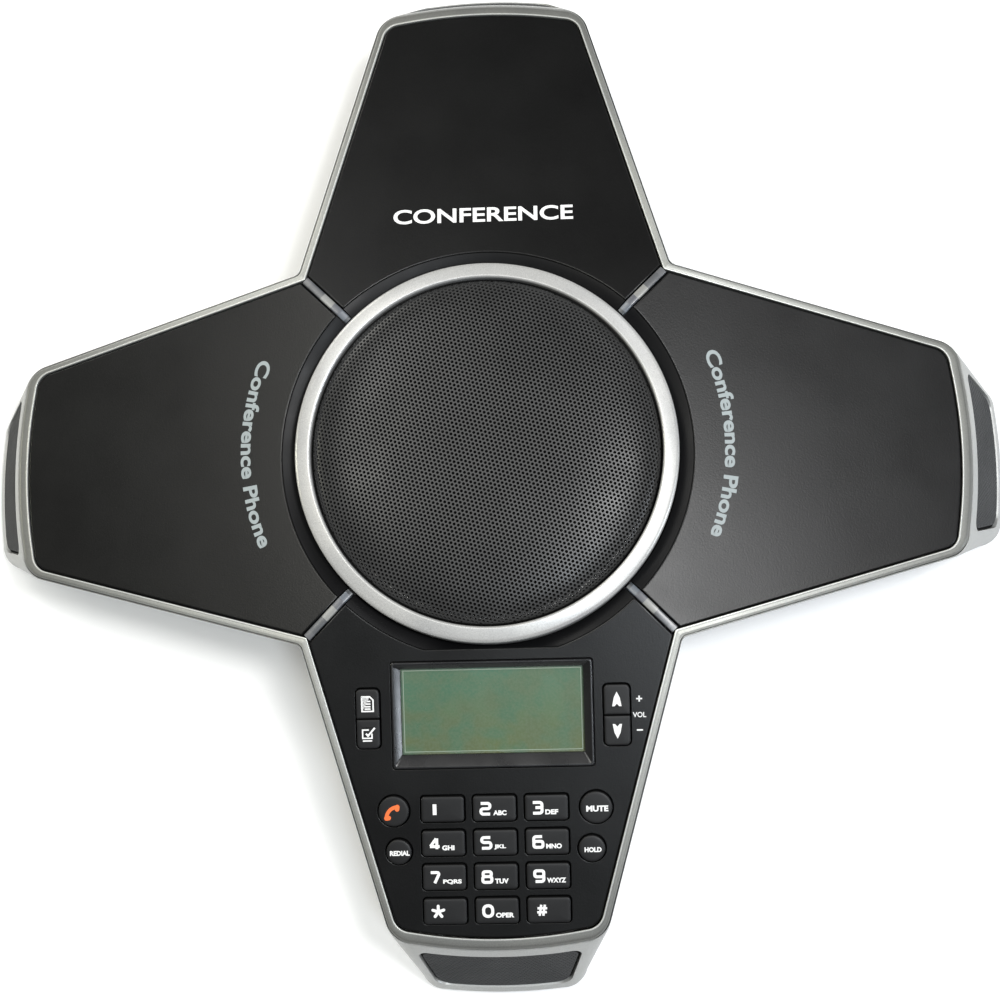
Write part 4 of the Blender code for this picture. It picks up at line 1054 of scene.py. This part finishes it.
def letter_shape(text, centre, height, width, top, boldness=0.0):
    """Plain sans lettering, fitted to a height and width round a centre."""
    curve = bpy.data.curves.new("letters", "FONT")
    curve.body, curve.size, curve.offset = text, 1.0, boldness
    curve.resolution_u, curve.extrude = 5, 0.5
    obj = linked("letters", curve)
    data = evaluated_mesh(obj)
    points = np.array([vertex.co for vertex in data.vertices])
    faces = [tuple(polygon.vertices) for polygon in data.polygons]
    bpy.data.objects.remove(obj, do_unlink=True)
    bpy.data.meshes.remove(data)
    low, high = points.min(axis=0), points.max(axis=0)
    points = (points - low) / (high - low) * np.array([width, height, INK])
    points += np.array([centre[0] - width / 2, centre[1] - height / 2, top - INK])
    return points.tolist(), faces


def on_key(name):
    """Centre and top height of a key, in the keypad arm's own axes."""
    low, high = cap_box(name)
    return (low + high)[:2] / 2, high[2] + PRINT


def add_print(name, shape, material, body="base", slot="keycap"):
    add_piece(name, shape, material, (), body, slot, crease=30, arm=0)


def build_legends():
    width, height, weight = 0.0036, 0.0041, 0.00088     # of a digit
    for name in DIGIT_KEYS:
        label = name[len("key_"):]
        (x, y), top = on_key(name)
        x -= 0.0027 if label in LETTERS_OF else 0.0021
        shape = digit_shape(label, (x, y), width, height, weight, top)
        add_print(name + "_legend", shape, WHITE_INK, name)
        if label in LETTERS_OF:
            letters, length = LETTERS_OF[label]
            spot = (x + width / 2 + 0.0005 + length / 2, y - 0.00128)
            shape = letter_shape(letters, spot, 0.00150, length, top, BOLD)
            add_print(name + "_letters", shape, WHITE_INK, name)
    for text, length, height in (("REDIAL", 0.0060, 0.0015), ("MUTE", 0.0066, 0.0018),
                                 ("HOLD", 0.0051, 0.0015)):
        name = "key_" + text.lower()
        (x, y), top = on_key(name)
        shape = letter_shape(text, (x + 0.0003, y - 0.0003), height, length, top, BOLD)
        add_print(name + "_legend", shape, WHITE_INK, name)


def build_icons():
    """Handset, arrows and pictograms on the keys, and the volume signs beside their keys."""
    (x, y), top = on_key("key_talk")
    arc = [(x + 0.0013 - 0.0035 * cos(angle), y - 0.0021 + 0.0035 * sin(angle))
           for angle in between(radians(2), radians(88), 12)]
    ends = [[arc[0], (arc[0][0] + 0.0007, arc[0][1] + 0.0001)],
            [arc[-1], (arc[-1][0] - 0.0001, arc[-1][1] - 0.0007)]]
    strokes = [band(arc, 0.0011, True)] + [band(end, 0.0014, True) for end in ends]
    handset = merged([raised([outline], top - LEVEL * level) for level, outline in enumerate(strokes)])
    add_print("key_talk_handset", handset, ORANGE_INK, "key_talk")

    arrow = [(0.0, 0.0024), (-0.0009, 0.0006), (-0.0014, -0.0020), (-0.0007, -0.0020),
             (0.0, -0.0012), (0.0007, -0.0020), (0.0014, -0.0020), (0.0009, 0.0006)]
    for name, flip in (("key_volume_up", 1), ("key_volume_down", -1)):
        (x, y), top = on_key(name)
        outline = [(x + flip * across, y + flip * up) for across, up in arrow]
        add_print(name + "_arrow", raised([outline], top), WHITE_INK, name)

    line = 0.00042
    page = [(-0.0017, 0.0022), (-0.0017, -0.0022), (0.0017, -0.0022), (0.0017, 0.0012),
            (0.0007, 0.0022), (-0.0019, 0.0022)]
    rows = [[(-0.0009, shift), (0.0009, shift)] for shift in (0.0008, 0.0, -0.0008, -0.0015)]
    sheet = [(0.0002, 0.0013), (-0.0017, 0.0013), (-0.0017, -0.0012), (0.0011, -0.0012),
             (0.0011, 0.0002)]
    pen = [(-0.0007, 0.0002), (-0.0001, -0.0005), (0.0020, 0.0019)]
    base = [(-0.0017, -0.0020), (0.0011, -0.0020)]
    for name, strokes in (("key_phonebook", [(path, line) for path in [page] + rows]),
                          ("key_edit", [(sheet, line), (pen, line * 1.3), (base, line)])):
        (x, y), top = on_key(name)
        outlines = [band([(x + across, y + up) for across, up in path], width)
                    for path, width in strokes]
        add_print(name + "_icon", raised(outlines, top), WHITE_INK, name)

    x, slot = 0.0440, SLOT_OF["keypad_panel"]
    signs = [[(x - 0.0009, -0.0207), (x + 0.0009, -0.0207)], [(x, -0.0216), (x, -0.0198)],
             [(x - 0.0009, -0.0301), (x + 0.0009, -0.0301)]]
    shape = raised([band(sign, 0.00045) for sign in signs], PRINT)
    add_print("volume_signs", shape, WHITE_INK, slot=slot)
    shape = letter_shape("VOL", (x, -0.0255), 0.0016, 0.0040, PRINT, 0.015)
    add_print("volume_word", shape, WHITE_INK, slot=slot)


def build_words():
    """Plain generic words on the rear, left and right panels."""
    shape = letter_shape("CONFERENCE", (0.0, 0.0208), 0.0050, 0.0560, PRINT, 0.020)
    add_piece("rear_word", moved(shape, slope_matrix(2) @ level_matrix(2)), WHITE_INK,
              slot=SLOT_OF["rear_panel"], crease=30)
    flat, faces = letter_shape("Conference Phone", (0.0, 0.0), 0.0046, 0.0590, 0.0, 0.030)
    for side, name, radius, shift in ((-1, "left_word", 0.0737, 0.0018),
                                      (1, "right_word", 0.0745, 0.0012)):
        vertices = []
        for along, up, lift in flat:
            reach = radius + side * up
            x = side * reach * cos(along / radius)
            y = shift - reach * sin(along / radius)
            vertices.append((x, y, roof((x, y)) + PRINT + lift))
        add_piece(name, (vertices, faces), GREY_INK, slot=SLOT_OF["left_panel"], crease=30)


# -------- display
def build_display():
    """Black frame with a stepped mouth, the pane in it and a fine light line round the display, a painted
    highlight of the glass edge.
    """
    low, high = arm_box("display_bezel")
    inner_low, inner_high = arm_box("display_window")
    outside = box_outline(low, high, 0.0, 0.0008)
    mouth = box_outline(inner_low, inner_high, GAP, 0.0004)
    section = [(box_outline(low, high, -0.0003, 0.0008), high[2]), (outside, high[2] - 0.0004),
               (outside, -PANEL_THICKNESS), (mouth, -PANEL_THICKNESS),
               (mouth, inner_high[2] + 0.0002), (box_outline(low, high, -0.0008, 0.0008), high[2])]
    rings = softened([at_height(*ring) for ring in section],
                     [0.0001, 0.0003, 0, 0, 0.0001, 0.0002], 3, True)
    add_piece("display_frame", loft(rings, True), BEZEL_BLACK, ["display_bezel"], arm=0)
    window = box_outline(inner_low, inner_high, 0.0, 0.0004, 4)
    shape = plate([window], inner_high[2], inner_low[2], 0.0001)
    add_piece("display_pane", shape, PANE, ["display_window"], arm=0)
    top = arm_box("lcd_module")[1][2]
    outlines = [box_outline(inner_low, inner_high, -margin) for margin in (0.0002, 0.00045)]
    add_piece("display_edge_painted_highlight", plate(outlines, top + 0.0002, top + 0.00002, 0.00003, 1),
              DISPLAY_EDGE_HIGHLIGHT, slot=SLOT_OF["lcd_module"], arm=0)


# -------- underside
def build_feet():
    for arm in ARMS:
        node = "rubber_foot_" + arm
        low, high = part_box(node)
        centre = ((low.x + high.x) / 2, (low.y + high.y) / 2)
        radius, top = (high.x - low.x) / 2, FLOOR - 0.0002
        profile = [(0.0, high.z), (0.0023, high.z), (0.0025, high.z - 0.0004), (0.0025, top),
                   (radius, top), (radius, 0.0), (radius * 0.72, 0.0), (radius * 0.66, 0.0005),
                   (0.0, 0.0005)]
        reaches = [0, 0, 0, 0, 0.0004, 0.0008, 0.0002, 0.0002, 0]
        shape = turned(profile, reaches, 64, centre, closed=False, soft_steps=4)
        add_piece(node + "_pad", shape, RUBBER, [node])


def build_sockets():
    """Contacts in the line jack; the jacks' bodies are the CAD solids."""
    low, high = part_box("line_jack")
    middle = (low.x + high.x) / 2
    contacts = []
    for index in range(6):
        x = middle + (index - 2.5) * 0.00102
        contacts.append(block((x - 0.00022, high.y - 0.0100, low.z + 0.0022),
                              (x + 0.00022, high.y - 0.0020, low.z + 0.0027)))
    add_piece("line_jack_contacts", merged(contacts), GOLD, slot=SLOT_OF["line_jack"])


# -------- carried-over CAD nodes
def dress_nodes():
    """Give every CAD node that stays a procedural material of its own kind."""
    materials = {"silver_housing": HOUSING_SILVER, "silver_rim": SILVER, "charcoal_panel": CHARCOAL,
                 "light_bar_lens": LIGHT_BAR, "satin_silver": RING_SILVER, "black_mesh": MESH_BLACK,
                 "black_plastic": BEZEL_BLACK, "display_window": PANE, "display_glass": SCREEN,
                 "keycap": KEY_BLACK, "rubber": RUBBER, "circuit_board": GREEN_BOARD,
                 "basket_steel": STEEL, "cone_paper": CONE_PAPER, "ferrite": FERRITE,
                 "connector": CONNECTOR, "screw_steel": STEEL}
    for node, obj in frame["nodes"].items():
        obj.data.materials.clear()
        obj.data.materials.append(materials[SLOT_OF[node]])


# -------- table, light and camera
LAMP_DISTANCE = 1.5
WHITE = (1.0, 1.0, 1.0, 1.0)


def build_stage():
    half = 12.0
    floor = make_object("table_top", loft([at_height(rectangle(-half, half, -half, half), height)
                                           for height in (-0.02, 0.0)]), None)
    shader = Shader("pale_table", (0.93, 0.93, 0.93), 0.6, specular=0.2).mottle(0.4, 0.005)
    shader.wear(0.2, 0.55, 0.65).feed("Emission Color", WHITE).feed("Emission Strength", 0.12)
    floor.data.materials.append(shader.material)

    world = bpy.data.worlds.new("studio")
    bpy.context.scene.world = world
    world.use_nodes = True
    background = world.node_tree.nodes["Background"].inputs
    background["Color"].default_value, background["Strength"].default_value = WHITE, 0.12

    lamps = [       # name, angle from upright, bearing from +X, size, power, colour
        ("key", 18, 4, 0.30, 11.6, (1.0, 1.0, 1.0)),
        ("front_fill", 19, -47, 0.22, 4.8, (0.89, 0.97, 1.04)),
        ("left_fill", 20, 157, 0.45, 4.9, (1.0, 0.99, 0.92)),
        ("rear_fill", 32, 125, 0.45, 3.4, (1.0, 0.995, 0.97)),
        ("low_fill", 70, 130, 0.50, 5.4, (1.0, 0.985, 0.92)),
        ("right_fill", 44, 50, 0.40, 1.3, (1.0, 1.0, 1.0)),
        ("low_right", 70, -15, 0.30, 6.0, (0.88, 0.96, 1.05)),
        ("left_glint", 75, 172, 0.12, 3.5, (1.0, 0.99, 0.78)),
    ]
    for name, lean, bearing, size, power, colour in lamps:
        light = bpy.data.lights.new(name, "AREA")
        light.shape, light.size, light.energy, light.color = "DISK", size, power, colour
        lamp = linked(name, light)
        lean, bearing = radians(lean), radians(bearing)
        away = Vector((sin(lean) * cos(bearing), sin(lean) * sin(bearing), cos(lean)))
        lamp.location = away * LAMP_DISTANCE
        lamp.rotation_euler = (-away).to_track_quat("-Z", "Y").to_euler()


def build_camera():
    """Almost straight above the phone, a little in front of it."""
    data = bpy.data.cameras.new("camera")
    data.sensor_width = 36.0
    data.lens = 66.942
    data.clip_start = 0.01
    camera = linked("camera", data)
    turn = (Matrix.Rotation(radians(1.11), 3, "Z") @ Matrix.Rotation(radians(-8.29), 3, "X")
            @ Matrix.Rotation(radians(-2.59), 3, "Y"))
    place = Vector((0.028875, -0.095975, 0.612592))
    camera.matrix_world = Matrix.Translation(place) @ turn.transposed().to_4x4()
    bpy.context.scene.camera = camera


build_camera()
build_stage()
dress_nodes()
build_housing()
build_rim()
build_panels()
build_ring()
build_well()
build_light_bars()
build_dome()
build_end_grilles()
build_keys()
build_legends()
build_icons()
build_words()
build_display()
build_feet()
build_sockets()

bpy.context.scene.view_settings.view_transform = "Standard"
